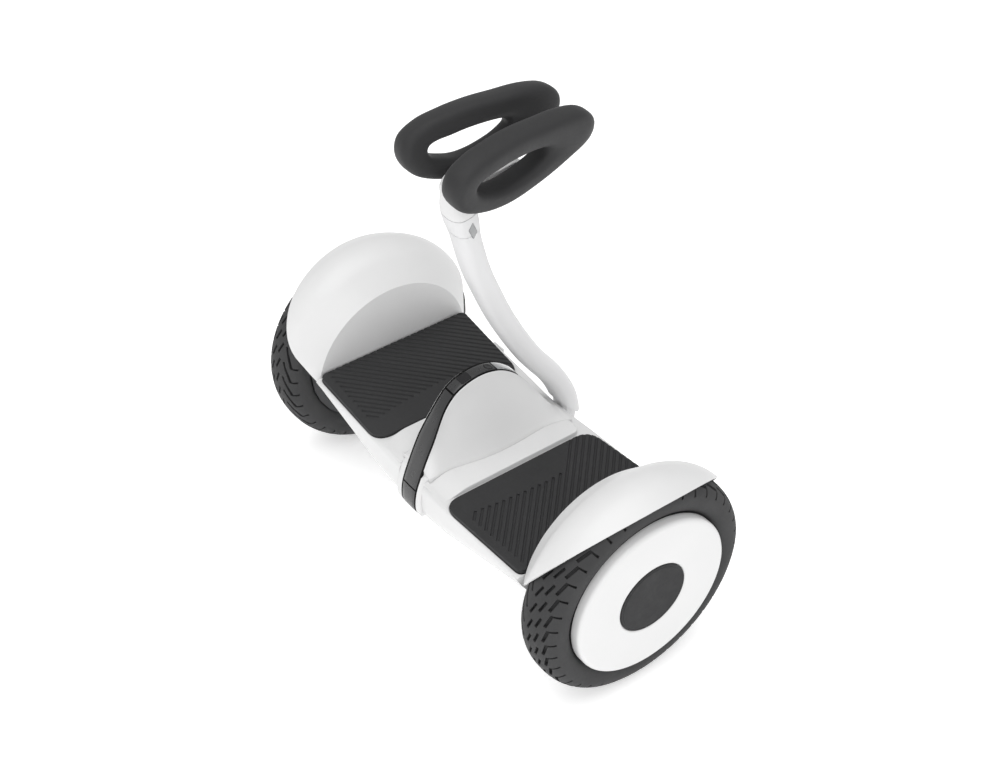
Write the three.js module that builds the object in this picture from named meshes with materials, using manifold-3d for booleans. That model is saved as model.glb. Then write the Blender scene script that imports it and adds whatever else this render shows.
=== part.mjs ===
// A self balancing personal transporter: two motor wheels, a low deck with two foot pads,
// a ridge between the feet and a knee bar that leans to steer.
// Millimetres. X points right, Y towards the knee bar and Z up.
// The origin is on the ground, midway between the wheels and under their axle.
import * as THREE from "three";
import { mergeVertices } from "three/addons/utils/BufferGeometryUtils.js";
import Module from "manifold-3d";

const wasm = await Module();
wasm.setup();

// Driving sizes
const gap = 0.3; // between two pieces that touch
const overrun = 5; // how far a cutter runs past what it cuts
const weldReach = 1e-3; // vertices this close are one vertex

const wheel = {
  halfTrack: 243.9, // from the middle of the object to the middle of a tyre
  radius: 131,
  width: 55,
  beadRadius: 97,
  rimHalfWidth: 22,
  rimWall: 12.7,
  sideWall: 6,
  bearingRadius: 14,
  bossRadius: 24,
  bossReach: 26,
  bearingLength: 9,
  statorRadius: 80,
  statorHalfLength: 13,
  statorShift: 1,
  steps: 28,
};
const tread = {
  pitches: 12,
  slitWidth: 2.6,
  slitDepth: 4,
  slantLength: 17,
  shoulderLength: 12,
  innerLength: 24,
  slant: THREE.MathUtils.degToRad(24),
};
const disc = { radius: 96.5, reach: 34.6, wall: 2.6, skirt: 3, edge: 4, recess: 1.8 };
const cap = { radius: 42.4, proud: 0.3, bevel: 0.8 };
const axle = { radius: 8, shoulderRadius: 11, shoulderLength: 24, innerEnd: 150, outerReach: 28.5 };
const hull = {
  halfLength: 191.6,
  wall: 3,
  deckHeight: 153,
  rearReach: 112,
  rearTaper: 4,
  frontReach: 89.5,
  frontFlare: 12.5,
  kneeHeight: 107.5,
  kneeRise: 43,
  bellyHeight: 86,
  bellyRise: 22,
  bilgeIn: 12,
  bilgeDrop: 21.6,
  turnIn: 26,
  turnDrop: 40,
  flatIn: 44,
  parting: 112,
};
const plateau = { halfWidth: 59, height: 159, rear: -98, front: 80, corner: 8 };
const pad = {
  inner: 62.3,
  outer: 190.7,
  rearInner: -109.2,
  rearOuter: -103.2,
  frontInner: 88.7,
  frontOuter: 99.9,
  corner: 21,
  base: 151.3,
  topInner: 156.7,
  topOuter: 159.5,
  ribPitch: 6,
  ribDepth: 1,
  ribAngle: THREE.MathUtils.degToRad(53),
};
const sensor = { thickness: 1.2, inset: 16 };
const recessDepth = 2;
const fender = {
  wall: 2,
  crown: 136.7,
  reach: 51.7,
  ahead: 0.5,
  foot: 14, // height of its lower edge over the axle
  lipFoot: -57.2,
  lipSlope: 0.71,
  steps: 28,
};
const hump = { wall: 2.6, seat: 148.3, edge: 1.6, rim: 159, leastRise: 1.2, noseHalfWidth: 28 };
const strip = { lowHalfWidth: 12.4, highHalfWidth: 8, proud: 0.6, thickness: 4 };
const button = { radius: 4.8, travel: 1.5, proud: 0.6 };
const steer = { height: 126, shaftRadius: 7, shaftRear: 22, hubRadius: 13, hubFront: 108 };
const bearing = { radius: 11, length: 8, rear: 26, front: 76 };
const bush = { radius: 13, rear: 44, front: 64 };
const bar = { halfWidth: 18, halfDepth: 13, wall: 3, top: 470, plugTop: 196, steps: 13, sides: 12 };
const lean = { back: 0.237, up: 0.9715 }; // direction of the straight upper part of the bar
const head = { spigotRadius: 8, spigotLength: 52, keelHalfWidth: 11.5 };
const ring = {
  length: 159.4,
  back: 67.5,
  drop: 44.2,
  halfBand: 14.1,
  halfLowBand: 10.3,
  halfThickness: 15,
  halfSpacing: 36.6,
  height: 544.1,
  splay: THREE.MathUtils.degToRad(7.7),
  toeIn: THREE.MathUtils.degToRad(4.5),
  rise: THREE.MathUtils.degToRad(3.7),
  steps: 26,
  sides: 11,
};
const ringBolt = { radius: 4, halfLength: 33, rear: -28, front: 22, height: 501.5 };
const frame = {
  halfLength: 186,
  halfWidth: 60,
  plate: 5.7,
  railIn: 46,
  railOut: 54,
  railFoot: 118,
  blockIn: 160,
  blockHalfWidth: 26,
  holeRadius: 20,
};
const battery = { halfLength: 105, rear: -45, front: 20, top: 117.5, corner: 6 };
const board = { halfLength: 45, rear: -40, front: 14, thickness: 1.6, chipHeight: 4 };
const screw = { across: 150, along: 50, radius: 2, headRadius: 4, headHeight: 2.6, boss: 6, grip: 12 };
const charge = { across: -120, height: 143, radius: 6, bore: 4, depth: 14 };
const flap = { halfWidth: 9, height: 15, thickness: 2, knuckle: 1.4 };

// Finishes
const finish = (color, roughness, metalness) =>
  new THREE.MeshStandardMaterial({ color, roughness, metalness });
const white = finish(0xf2f2f2, 0.35, 0);
const darkRubber = finish(0x3e3e3e, 0.85, 0);
const tyreRubber = finish(0x454545, 0.9, 0);
const glossBlack = finish(0x1c1c1c, 0.15, 0);
const lensGrey = finish(0xa8acae, 0.2, 0);
const castAlloy = finish(0x8d9093, 0.5, 0.8);
const steel = finish(0xb4b6b8, 0.3, 1);
const capGrey = finish(0x404143, 0.45, 0);
const boardGreen = finish(0x1e4d34, 0.5, 0);
const batteryBlue = finish(0x2c3338, 0.6, 0);

// Solids

// A closed geometry as a solid, its faces turned outwards.
function solid(geometry) {
  const loose = geometry.index ? geometry.toNonIndexed() : geometry;
  const bare = new THREE.BufferGeometry();
  bare.setAttribute("position", loose.getAttribute("position").clone());
  const merged = mergeVertices(bare, weldReach);
  const points = merged.getAttribute("position").array;
  const corners = [];
  let volume = 0;
  for (let i = 0; i < merged.index.count; i += 3) {
    const [a, b, c] = merged.index.array.slice(i, i + 3);
    if (a === b || b === c || c === a) continue;
    corners.push(a, b, c);
    const [p, q, r] = [a, b, c].map((k) => new THREE.Vector3().fromArray(points, 3 * k));
    volume += p.dot(q.cross(r));
  }
  if (volume < 0)
    for (let i = 0; i < corners.length; i += 3)
      [corners[i + 1], corners[i + 2]] = [corners[i + 2], corners[i + 1]];
  return new wasm.Manifold(
    new wasm.Mesh({ numProp: 3, vertProperties: points, triVerts: new Uint32Array(corners) }),
  );
}

function geometryOf(body) {
  const mesh = body.getMesh();
  const points = new Float32Array(3 * mesh.numVert);
  for (let i = 0; i < mesh.numVert; i++)
    points.set(mesh.vertProperties.subarray(i * mesh.numProp, i * mesh.numProp + 3), 3 * i);
  const geometry = new THREE.BufferGeometry();
  geometry.setAttribute("position", new THREE.BufferAttribute(points, 3));
  geometry.setIndex(new THREE.BufferAttribute(new Uint32Array(mesh.triVerts), 1));
  return geometry;
}

const join = (...bodies) => bodies.reduce((all, body) => all.add(body));
const cut = (body, ...cutters) => cutters.reduce((left, cutter) => left.subtract(cutter), body);
const moved = (body, x, y, z) => solid(geometryOf(body).translate(x, y, z));
const mirrored = (body) => solid(geometryOf(body).scale(-1, 1, 1));
const shapeOf = (points) => new THREE.Shape(points.map(([a, b]) => new THREE.Vector2(a, b)));

function extruded(points, depth, place) {
  const geometry = new THREE.ExtrudeGeometry(shapeOf(points), { depth, bevelEnabled: false });
  return solid(geometry.applyMatrix4(place));
}

const xAxis = new THREE.Vector3(1, 0, 0);
const yAxis = new THREE.Vector3(0, 1, 0);
const zAxis = new THREE.Vector3(0, 0, 1);

// An outline in (y, z) between two places on X, in (x, z) on Y, and in (x, y) on Z.
const prismX = (points, from, to) =>
  extruded(points, to - from, new THREE.Matrix4().makeBasis(yAxis, zAxis, xAxis).setPosition(from, 0, 0));
const prismY = (points, from, to) =>
  extruded(
    points,
    to - from,
    new THREE.Matrix4().makeBasis(xAxis, zAxis, yAxis.clone().negate()).setPosition(0, to, 0),
  );
const prismZ = (points, from, to) =>
  extruded(points, to - from, new THREE.Matrix4().makeTranslation(0, 0, from));

const rectangle = (a, b, c, d) => [
  [a, b],
  [c, b],
  [c, d],
  [a, d],
];
const block = (x0, x1, y0, y1, z0, z1) => prismZ(rectangle(x0, y0, x1, y1), z0, z1);

// An outline of (along, radius) points turned about an axis along X.
function turned(points, steps = 16) {
  const outline = points.map(([along, radius]) => new THREE.Vector2(radius, along));
  const first = outline[0];
  const last = outline[outline.length - 1];
  if (first.x > 0 || last.x > 0) outline.push(first.clone());
  return solid(new THREE.LatheGeometry(outline, steps).rotateZ(-Math.PI / 2));
}
const tube = (from, to, outer, inner, steps) =>
  turned([[from, inner], [from, outer], [to, outer], [to, inner]], steps);
const rod = (from, to, radius, steps) =>
  turned([[from, 0], [from, radius], [to, radius], [to, 0]], steps);

// The same along Y and along Z.
const alongY = (body) => solid(geometryOf(body).rotateZ(Math.PI / 2));
const alongZ = (body) => solid(geometryOf(body).rotateY(-Math.PI / 2));

// A skin over sections of equally many points, closed with caps or into a loop.
function loft(sections, looped = false) {
  const points = [];
  const corner = (i, j) => sections[i % sections.length][j % sections[0].length];
  const quads = looped ? sections.length : sections.length - 1;
  for (let i = 0; i < quads; i++)
    for (let j = 0; j < sections[0].length; j++) {
      const [a, b] = [corner(i, j), corner(i + 1, j)];
      const [c, d] = [corner(i + 1, j + 1), corner(i, j + 1)];
      points.push(a, b, c, a, c, d);
    }
  if (!looped)
    [sections[0], [...sections[sections.length - 1]].reverse()].forEach((rim) => {
      const middle = rim.reduce((sum, p) => sum.add(p), new THREE.Vector3()).divideScalar(rim.length);
      rim.forEach((p, j) => points.push(middle, p, rim[(j + 1) % rim.length]));
    });
  return solid(new THREE.BufferGeometry().setFromPoints(points));
}

// A rounded square outline, from a true ellipse at squareness 2 upwards.
function oval(halfWidth, halfDepth, sides, squareness = 2.6) {
  return Array.from({ length: sides }, (_, i) => {
    const turn = (2 * Math.PI * i) / sides;
    const bend = (v) => Math.sign(v) * Math.abs(v) ** (2 / squareness);
    return [halfWidth * bend(Math.cos(turn)), halfDepth * bend(Math.sin(turn))];
  });
}

// An open line of (a, b) points moved sideways, to its left where the distance is positive.
function offsetLine(points, distance) {
  return points.map(([a, b], i) => {
    const [p, q] = [points[Math.max(i - 1, 0)], points[Math.min(i + 1, points.length - 1)]];
    const along = new THREE.Vector2(q[0] - p[0], q[1] - p[1]).normalize();
    return [a - along.y * distance, b + along.x * distance];
  });
}

// Smooth points of a curve through (a, b) points, between two shares of its length.
function curvePoints(points, from, to, steps) {
  const curve = new THREE.SplineCurve(points.map(([a, b]) => new THREE.Vector2(a, b)));
  return Array.from({ length: steps + 1 }, (_, i) =>
    curve.getPointAt(from + ((to - from) * i) / steps).toArray(),
  );
}

// A four cornered outline with each corner rounded.
function roundedOutline(corners, radius, steps = 4) {
  return corners.flatMap((corner, i) => {
    const here = new THREE.Vector2(...corner);
    const before = new THREE.Vector2(...corners[(i + corners.length - 1) % corners.length]);
    const after = new THREE.Vector2(...corners[(i + 1) % corners.length]);
    const a = here.clone().add(before.sub(here).normalize().multiplyScalar(radius));
    const b = here.clone().add(after.sub(here).normalize().multiplyScalar(radius));
    const bend = new THREE.QuadraticBezierCurve(a, here, b);
    return bend.getPoints(steps).map((p) => p.toArray());
  });
}

// The assembly

const transporter = new THREE.Group();
const chassis = new THREE.Group();
const steering = new THREE.Group();
transporter.add(chassis, steering);

function put(group, name, body, material) {
  const mesh = new THREE.Mesh(geometryOf(body), material);
  mesh.name = name;
  group.add(mesh);
}

const axleHeight = wheel.radius;
const sides = [
  ["left", -1],
  ["right", 1],
];

// Wheels, made about their own axle with X pointing away from the deck.

const halfTyre = wheel.width / 2;
const sidewallHeight = wheel.radius - wheel.beadRadius;
const tyrePoint = ([sideShare, heightShare]) => [
  sideShare * halfTyre,
  wheel.beadRadius + heightShare * sidewallHeight,
];
const tyreOuterShares = [
  [0.72, 0],
  [0.95, 0.22],
  [1, 0.46],
  [0.93, 0.68],
  [0.7, 0.888],
  [0.36, 0.98],
];
const tyreInnerShares = [
  [0.5, 0],
  [0.7, 0.34],
  [0.46, 0.74],
];
const flipSide = ([sideShare, heightShare]) => [-sideShare, heightShare];

function tyreCarcass() {
  const outside = [...tyreOuterShares, [0, 1], ...tyreOuterShares.map(flipSide).reverse()];
  const inside = [...tyreInnerShares.map(flipSide), ...[...tyreInnerShares].reverse()];
  return turned([...outside, ...inside].map(tyrePoint), wheel.steps);
}

// The tyre's outer radius at a share of its half width.
function tyreRadiusAt(share) {
  const line = [[0, 1], ...[...tyreOuterShares].reverse()];
  const next = line.findIndex(([side]) => side >= Math.abs(share));
  const [[a, ra], [b, rb]] = [line[next - 1], line[next]];
  return wheel.beadRadius + sidewallHeight * (ra + ((rb - ra) * (Math.abs(share) - a)) / (b - a));
}

// One slit, cut square into the tread at a place across the tyre.
function slit(share, length, turn, depthShare = 1) {
  const depth = tread.slitDepth * depthShare;
  const half = tread.slitWidth / 2;
  const bar = block(-half, half, -length / 2, length / 2, -depth, overrun);
  const lie = (Math.sign(share) || 1) * Math.atan2(wheel.radius - tyreRadiusAt(share), halfTyre);
  return geometryOf(bar)
    .rotateZ(turn)
    .rotateY(lie)
    .translate(share * halfTyre, 0, tyreRadiusAt(share));
}

function treadSlits() {
  const across = Math.PI / 2;
  const step = (2 * Math.PI) / tread.pitches;
  const cell = [
    [slit(0.8, tread.shoulderLength, across), 0],
    [slit(0.45, tread.slantLength, tread.slant), 0.32],
    [slit(-0.05, tread.slantLength, tread.slant), 0.82],
    [slit(-0.55, tread.innerLength, tread.slant / 2), 0.3],
  ];
  return Array.from({ length: tread.pitches }, (_, i) =>
    cell.map(([geometry, share]) => solid(geometry.clone().rotateX((i + share) * step))),
  ).flat();
}

const seatRadius = wheel.beadRadius - gap;
const rimBore = seatRadius - wheel.rimWall;
const rotorFloor = wheel.rimHalfWidth - wheel.sideWall;

function rim() {
  return turned(
    [
      [-wheel.rimHalfWidth, rimBore],
      [-wheel.rimHalfWidth, seatRadius],
      [wheel.rimHalfWidth, seatRadius],
      [wheel.rimHalfWidth, wheel.bossRadius],
      [wheel.bossReach, wheel.bossRadius],
      [wheel.bossReach, wheel.bearingRadius],
      [rotorFloor - gap, wheel.bearingRadius],
      [rotorFloor - gap, wheel.bossRadius],
      [rotorFloor, wheel.bossRadius + wheel.sideWall],
      [rotorFloor, rimBore],
    ],
    wheel.steps,
  );
}

function innerCover() {
  const edge = rimBore - gap;
  const floor = wheel.rimHalfWidth - wheel.sideWall;
  return turned(
    [
      [-wheel.rimHalfWidth, edge],
      [-wheel.rimHalfWidth, wheel.bossRadius],
      [-wheel.bossReach, wheel.bossRadius],
      [-wheel.bossReach, wheel.bearingRadius],
      [-floor, wheel.bearingRadius],
      [-floor, edge],
    ],
    wheel.steps,
  );
}

function hubDisc() {
  const inside = disc.reach - disc.wall;
  const floor = disc.reach - disc.recess;
  const seat = cap.radius + gap;
  return turned(
    [
      [wheel.rimHalfWidth + gap, disc.radius - disc.skirt],
      [wheel.rimHalfWidth + gap, disc.radius],
      [disc.reach - disc.edge, disc.radius],
      [disc.reach, disc.radius - disc.edge],
      [disc.reach, seat],
      [floor, seat],
      [floor, 0],
      [floor - disc.wall, 0],
      [floor - disc.wall, seat + disc.wall],
      [inside, seat + disc.wall],
      [inside, disc.radius - disc.skirt],
    ],
    wheel.steps,
  );
}

function hubCap() {
  const floor = disc.reach - disc.recess + gap;
  const face = disc.reach + cap.proud;
  return turned(
    [
      [floor, 0],
      [floor, cap.radius],
      [face - cap.bevel, cap.radius],
      [face, cap.radius - cap.bevel],
      [face, 0],
    ],
    wheel.steps,
  );
}

function axleShaft() {
  const inner = axle.innerEnd - wheel.halfTrack;
  const shoulder = -wheel.bossReach - gap;
  const outer = axle.outerReach;
  return turned([
    [inner, 0],
    [inner, axle.radius],
    [shoulder - axle.shoulderLength, axle.radius],
    [shoulder - axle.shoulderLength, axle.shoulderRadius],
    [shoulder, axle.shoulderRadius],
    [shoulder, axle.radius],
    [outer, axle.radius],
    [outer, 0],
  ]);
}

const journal = axle.radius + gap;
const outerBearingEnd = wheel.bossReach - 2 * gap;
const wheelPieces = {
  tyre: [cut(tyreCarcass(), ...treadSlits()), tyreRubber],
  rim: [rim(), castAlloy],
  motor_cover: [innerCover(), castAlloy],
  hub_disc: [hubDisc(), white],
  hub_cap: [hubCap(), capGrey],
  axle_shaft: [axleShaft(), steel],
  stator: [
    tube(
      -wheel.statorHalfLength - wheel.statorShift,
      wheel.statorHalfLength - wheel.statorShift,
      wheel.statorRadius,
      journal,
    ),
    castAlloy,
  ],
  outer_bearing: [
    tube(outerBearingEnd - wheel.bearingLength, outerBearingEnd, wheel.bearingRadius - gap, journal),
    steel,
  ],
  inner_bearing: [
    tube(-outerBearingEnd, -outerBearingEnd + wheel.bearingLength, wheel.bearingRadius - gap, journal),
    steel,
  ],
};

// Fenders, made about the axle too: a domed shell with a flat wall beside the foot,
// cut by a slanted plane so that its lip leans out over the top of the tyre.

const fenderShares = [
  [-1, 0],
  [-0.985, 0.439],
  [-0.917, 0.673],
  [-0.83, 0.763],
  [-0.65, 0.865],
  [-0.462, 0.937],
  [-0.25, 0.983],
  [0, 1],
  [0.28, 0.984],
  [0.72, 0.904],
];

function fenderShell() {
  const outside = fenderShares.map(([alongShare, radiusShare]) => [
    alongShare * fender.reach,
    radiusShare * fender.crown,
  ]);
  const inside = offsetLine(outside, -fender.wall).map(([along, radius]) => [along, Math.max(radius, 0)]);
  inside[0] = [outside[0][0] + fender.wall, 0];
  const shell = turned([...outside, ...inside.reverse()], fender.steps);
  const lipAt = (height) => fender.lipFoot + fender.lipSlope * height;
  const top = fender.crown + overrun;
  const far = -fender.reach - overrun;
  const kept = [
    [far, fender.foot],
    [lipAt(fender.foot), fender.foot],
    [lipAt(top), top],
    [far, top],
  ];
  return moved(shell.intersect(prismY(kept, -top, top)), 0, fender.ahead, 0);
}
wheelPieces.fender = [fenderShell(), white];

const hubGroups = sides.map(([side, sign]) => {
  const group = new THREE.Group();
  group.position.set(sign * wheel.halfTrack, 0, axleHeight);
  group.rotation.z = sign > 0 ? 0 : Math.PI;
  for (const [name, [body, material]] of Object.entries(wheelPieces)) {
    const turnedRound = name === "fender" && sign < 0 ? solid(geometryOf(body).scale(1, -1, 1)) : body;
    put(group, `${name}_${side}`, turnedRound, material);
  }
  return group;
});
transporter.add(...hubGroups);

// Hull: a deck that thins towards the wheels over a belly that rises to meet them.

const endShare = (x) => Math.abs(x) / hull.halfLength;
const rearEdge = (x) => -hull.rearReach + hull.rearTaper * endShare(x);
const frontEdge = (x) => hull.frontReach + hull.frontFlare * endShare(x) ** 0.6;
const kneeHeight = (x) => hull.kneeHeight + hull.kneeRise * endShare(x);
const bellyHeight = (x) => hull.bellyHeight + hull.bellyRise * endShare(x) ** 2;

function hullSection(x, inset) {
  const top = hull.deckHeight - inset * 1.6;
  const knee = Math.min(kneeHeight(x), top - hull.wall / 2);
  const belly = bellyHeight(x) + inset;
  const turn = Math.max(kneeHeight(x) - hull.turnDrop, bellyHeight(x) + hull.wall) + inset;
  const wallLine = (edge, inward) => [
    [edge + inward * (inset + hull.wall / 2), top],
    [edge + inward * inset, top - hull.wall / 4],
    [edge + inward * inset, knee],
    [edge + inward * (hull.bilgeIn + inset), Math.max(knee - hull.bilgeDrop + inset / 2, turn)],
    [edge + inward * (hull.turnIn + inset), turn],
    [edge + inward * (hull.flatIn + inset), belly],
  ];
  const rear = wallLine(rearEdge(x), 1);
  const front = wallLine(frontEdge(x), -1).reverse();
  return [...rear, ...front].map(([y, z]) => new THREE.Vector3(x, y, z));
}

const hullStationShares = [-1, -0.75, -0.5, -0.25, -0.08, 0.08, 0.25, 0.5, 0.75, 1];
const hullBody = (inset) =>
  loft(hullStationShares.map((share) => hullSection(share * (hull.halfLength - inset), inset)));

// Hump: a narrow ridge between the feet, bell shaped across, with a crest line along Y.

const crestLine = [
  [-107.5, 103],
  [-111, 110],
  [-111.3, 121],
  [-109, 136],
  [-103, 153],
  [-92.5, 178],
  [-80.5, 202],
  [-67.3, 226],
  [-54.1, 242],
  [-40, 249.7],
  [-24, 253.3],
  [-8, 252.4],
  [8, 247],
  [22, 237.5],
  [34, 225],
  [50, 203],
  [66, 178],
  [82, 158],
  [86, 152],
];
const humpStations = [
  // place along Y and half width at the rim
  [-102, 26],
  [-94, 25.5],
  [-80, 25.5],
  [-65, 27],
  [-50, 30],
  [-30, 33.5],
  [-8, 35],
  [14, 34.5],
  [34, 33],
  [52, 32],
  [70, 34],
  [83, 40],
];
const bellShares = [0.22, 0.48, 0.72, 0.92];

function crestHeight(y) {
  const line = crestLine.slice(4);
  const next = Math.max(1, line.findIndex(([along]) => along >= y));
  const [[a, za], [b, zb]] = [line[next - 1], line[next]];
  return za + ((zb - za) * (y - a)) / (b - a);
}

// The strip narrows from its foot to the top of the ridge.
const stripHalfWidth = (height) =>
  strip.lowHalfWidth -
  (strip.lowHalfWidth - strip.highHalfWidth) * THREE.MathUtils.smoothstep(height, 186, 236);

function humpBody(grow, foot = hump.seat) {
  const tall = humpStations.filter(([y]) => crestHeight(y) > hump.rim + 3 * hump.wall);
  const stations = grow < 0 ? tall : humpStations;
  const sections = stations.map(([y, halfWidth], i) => {
    const crest = Math.max(crestHeight(y), hump.rim + hump.leastRise) + grow;
    const crestHalf = stripHalfWidth(crest) + hump.edge + grow;
    const rim = halfWidth + grow;
    const height = crest - hump.rim;
    const flank = bellShares.map((share) => [
      crestHalf + (rim - crestHalf) * (1 - share) ** 1.6,
      hump.rim + height * share,
    ]);
    const half = [[rim, foot], [rim, hump.rim], ...flank, [crestHalf - 1, crest]];
    const end = i === 0 ? -grow : i === stations.length - 1 ? grow : 0;
    return [...half, ...half.map(([x, z]) => [-x, z]).reverse()].map(
      ([x, z]) => new THREE.Vector3(x, y + end, z),
    );
  });
  return loft(sections);
}

const noseOutline = (grow) => [
  [-98 + grow, 101.5 - grow],
  [-107 - grow, 101.5 - grow],
  [-112.6 - grow, 107],
  [-113.6 - grow, 115],
  [-113.4 - grow, 124],
  [-110.5 - grow, 136],
  [-104 - grow, 152],
  [-101 - grow, 157 + grow],
  [-98 + grow, 157 + grow],
];
const noseBody = (grow) =>
  prismX(noseOutline(grow), -hump.noseHalfWidth - grow, hump.noseHalfWidth + grow);

// Points of the crest at even shares of its length, with both ends of the stretch.
const crestPitchShare = 0.025;
function crestStretch(from, to) {
  const curve = new THREE.SplineCurve(crestLine.map(([a, b]) => new THREE.Vector2(a, b)));
  const first = Math.ceil(from / crestPitchShare + 0.1);
  const last = Math.floor(to / crestPitchShare - 0.1);
  const between = Array.from({ length: last - first + 1 }, (_, i) => (first + i) * crestPitchShare);
  return [from, ...between, to].map((share) => curve.getPointAt(share).toArray());
}

function stripBody(from, to, grow = 0) {
  const line = crestStretch(from, to);
  const outer = offsetLine(line, strip.proud + grow);
  const inner = offsetLine(line, strip.proud - strip.thickness - grow);
  return loft(
    line.map(([, height], i) => {
      const half = stripHalfWidth(height) + grow;
      const corners = [[half, outer[i]], [-half, outer[i]], [-half, inner[i]], [half, inner[i]]];
      return corners.map(([x, [y, z]]) => new THREE.Vector3(x, y, z));
    }),
  );
}

const stripSeamShares = { lamp: 0.1, rear: 0.45, top: 0.625, end: 0.725 };
const seam = 0.002;

function humpCover() {
  const outer = join(humpBody(0), noseBody(0));
  const hollow = humpBody(-hump.wall, hump.seat - overrun);
  return cut(outer, hollow, stripBody(0, stripSeamShares.end, gap));
}

const stripPieces = {
  tail_lamp_lens: [stripBody(2 * seam, stripSeamShares.lamp - seam), glossBlack],
  ridge_strip_rear: [stripBody(stripSeamShares.lamp + seam, stripSeamShares.rear - seam), glossBlack],
  ridge_strip_top: [stripBody(stripSeamShares.rear + seam, stripSeamShares.top - seam), glossBlack],
  front_lamp_lens: [stripBody(stripSeamShares.top + seam, stripSeamShares.end - 2 * seam), lensGrey],
};

// The button and the display window lie in the top piece of the strip.
const display = { from: 0.492, to: 0.53, halfWidth: 6, depth: 1.4 };
const buttonShare = 0.603;

function stripPatch(from, to, halfWidth, depth, grow) {
  const line = curvePoints(crestLine, from, to, 3);
  const outline = [
    ...offsetLine(line, strip.proud + (grow ? overrun : 0)),
    ...offsetLine(line, strip.proud - depth - grow).reverse(),
  ];
  return prismX(outline, -halfWidth - grow, halfWidth + grow);
}

function powerButton(grow, from, to) {
  const curve = new THREE.SplineCurve(crestLine.map(([a, b]) => new THREE.Vector2(a, b)));
  const place = curve.getPointAt(buttonShare);
  const along = curve.getTangentAt(buttonShare);
  const body = alongZ(rod(from, to, button.radius + grow));
  return solid(
    geometryOf(body)
      .rotateX(Math.atan2(along.y, along.x))
      .translate(0, place.x, place.y),
  );
}
const buttonFoot = strip.proud - strip.thickness + button.travel;
stripPieces.ridge_strip_top[0] = cut(
  stripPieces.ridge_strip_top[0],
  stripPatch(display.from, display.to, display.halfWidth, display.depth, gap),
  powerButton(gap, -overrun, overrun),
);
stripPieces.display_window = [
  stripPatch(display.from, display.to, display.halfWidth, display.depth, 0),
  glossBlack,
];
stripPieces.power_button = [
  powerButton(0, buttonFoot, strip.proud + button.proud),
  lensGrey,
];
for (const [name, [body, material]] of Object.entries(stripPieces)) put(chassis, name, body, material);
put(chassis, "hump_cover", humpCover(), white);

// Foot pads: ribbed rubber mats with large round corners, a little higher outside.

const padCorners = [
  [pad.inner, pad.rearInner],
  [pad.outer, pad.rearOuter],
  [pad.outer, pad.frontOuter],
  [pad.inner, pad.frontInner],
];
const padMiddle = [(pad.inner + pad.outer) / 2, (pad.rearInner + pad.frontOuter) / 2];

function padOutline(grow) {
  const corners = padCorners.map(([x, y]) => [
    x + Math.sign(x - padMiddle[0]) * grow,
    y + Math.sign(y - padMiddle[1]) * grow,
  ]);
  return roundedOutline(corners, pad.corner);
}

// A comb of ribs, wide enough for the whole pad and leaning with its top.
function ribComb() {
  const reach = pad.frontOuter - pad.rearInner;
  const count = Math.ceil(reach / pad.ribPitch);
  const crest = [];
  for (let i = -count; i < count; i++) {
    const at = i * pad.ribPitch;
    crest.push([at, 0], [at + pad.ribPitch * 0.55, 0], [at + pad.ribPitch * 0.78, -pad.ribDepth]);
  }
  const depth = -(pad.topOuter - pad.base + overrun);
  const outline = [[crest[0][0], depth], ...crest, [crest[crest.length - 1][0], depth]];
  const comb = prismX(outline, -reach, reach);
  return geometryOf(comb).rotateZ(pad.ribAngle - Math.PI);
}

function footPad() {
  const tilt = Math.atan2(pad.topOuter - pad.topInner, pad.outer - pad.inner);
  const place = (geometry) =>
    solid(
      geometry
        .rotateY(-tilt)
        .translate(padMiddle[0], padMiddle[1], (pad.topInner + pad.topOuter) / 2),
    );
  const mat = prismZ(padOutline(0), pad.base, pad.topOuter + overrun);
  const reach = pad.frontOuter - pad.rearInner;
  const width = pad.outer - pad.inner;
  const smooth = prismZ(
    [
      [-reach, -reach],
      [width * 0.05, -reach],
      [-width * 0.2, reach * 0.34],
      [-reach, reach * 0.34],
    ],
    -reach,
    0,
  );
  const top = join(place(ribComb()), place(geometryOf(smooth)));
  return cut(mat.intersect(top), sensorPlate(gap));
}

function sensorPlate(grow) {
  return prismZ(
    padOutline(-sensor.inset + grow),
    pad.base - (grow ? overrun : 0),
    pad.base + sensor.thickness + grow,
  );
}

const padRight = footPad();
put(chassis, "footpad_right", padRight, darkRubber);
put(chassis, "footpad_left", mirrored(padRight), darkRubber);
put(chassis, "foot_sensor_right", sensorPlate(0), boardGreen);
put(chassis, "foot_sensor_left", mirrored(sensorPlate(0)), boardGreen);

// Body shell and belly pan

const padRecess = prismZ(padOutline(2 * gap), pad.base - gap, plateau.height + overrun);
const axleHole = moved(
  rod(-hull.halfLength - overrun, hull.halfLength + overrun, axle.shoulderRadius + 3 * gap),
  0,
  0,
  axleHeight,
);
const steerHole = moved(
  alongY(rod(0, hull.frontReach + 2 * overrun, steer.shaftRadius + 3 * gap)),
  0,
  0,
  steer.height,
);

function hullShell() {
  const deckTop = prismZ(
    roundedOutline(rectangle(-plateau.halfWidth, plateau.rear, plateau.halfWidth, plateau.front), plateau.corner),
    hull.deckHeight - hull.wall,
    plateau.height,
  );
  return cut(
    join(hullBody(0), deckTop),
    hullBody(hull.wall),
    humpBody(gap, hull.deckHeight - 4 * hull.wall),
    noseBody(gap),
    padRecess,
    mirrored(padRecess),
    axleHole,
    steerHole,
    chargeHole(),
  );
}

function chargeHole() {
  return moved(
    alongY(rod(hull.frontReach / 2, hull.frontReach + hull.frontFlare + overrun, charge.radius + gap)),
    charge.across,
    0,
    charge.height,
  );
}

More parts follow.
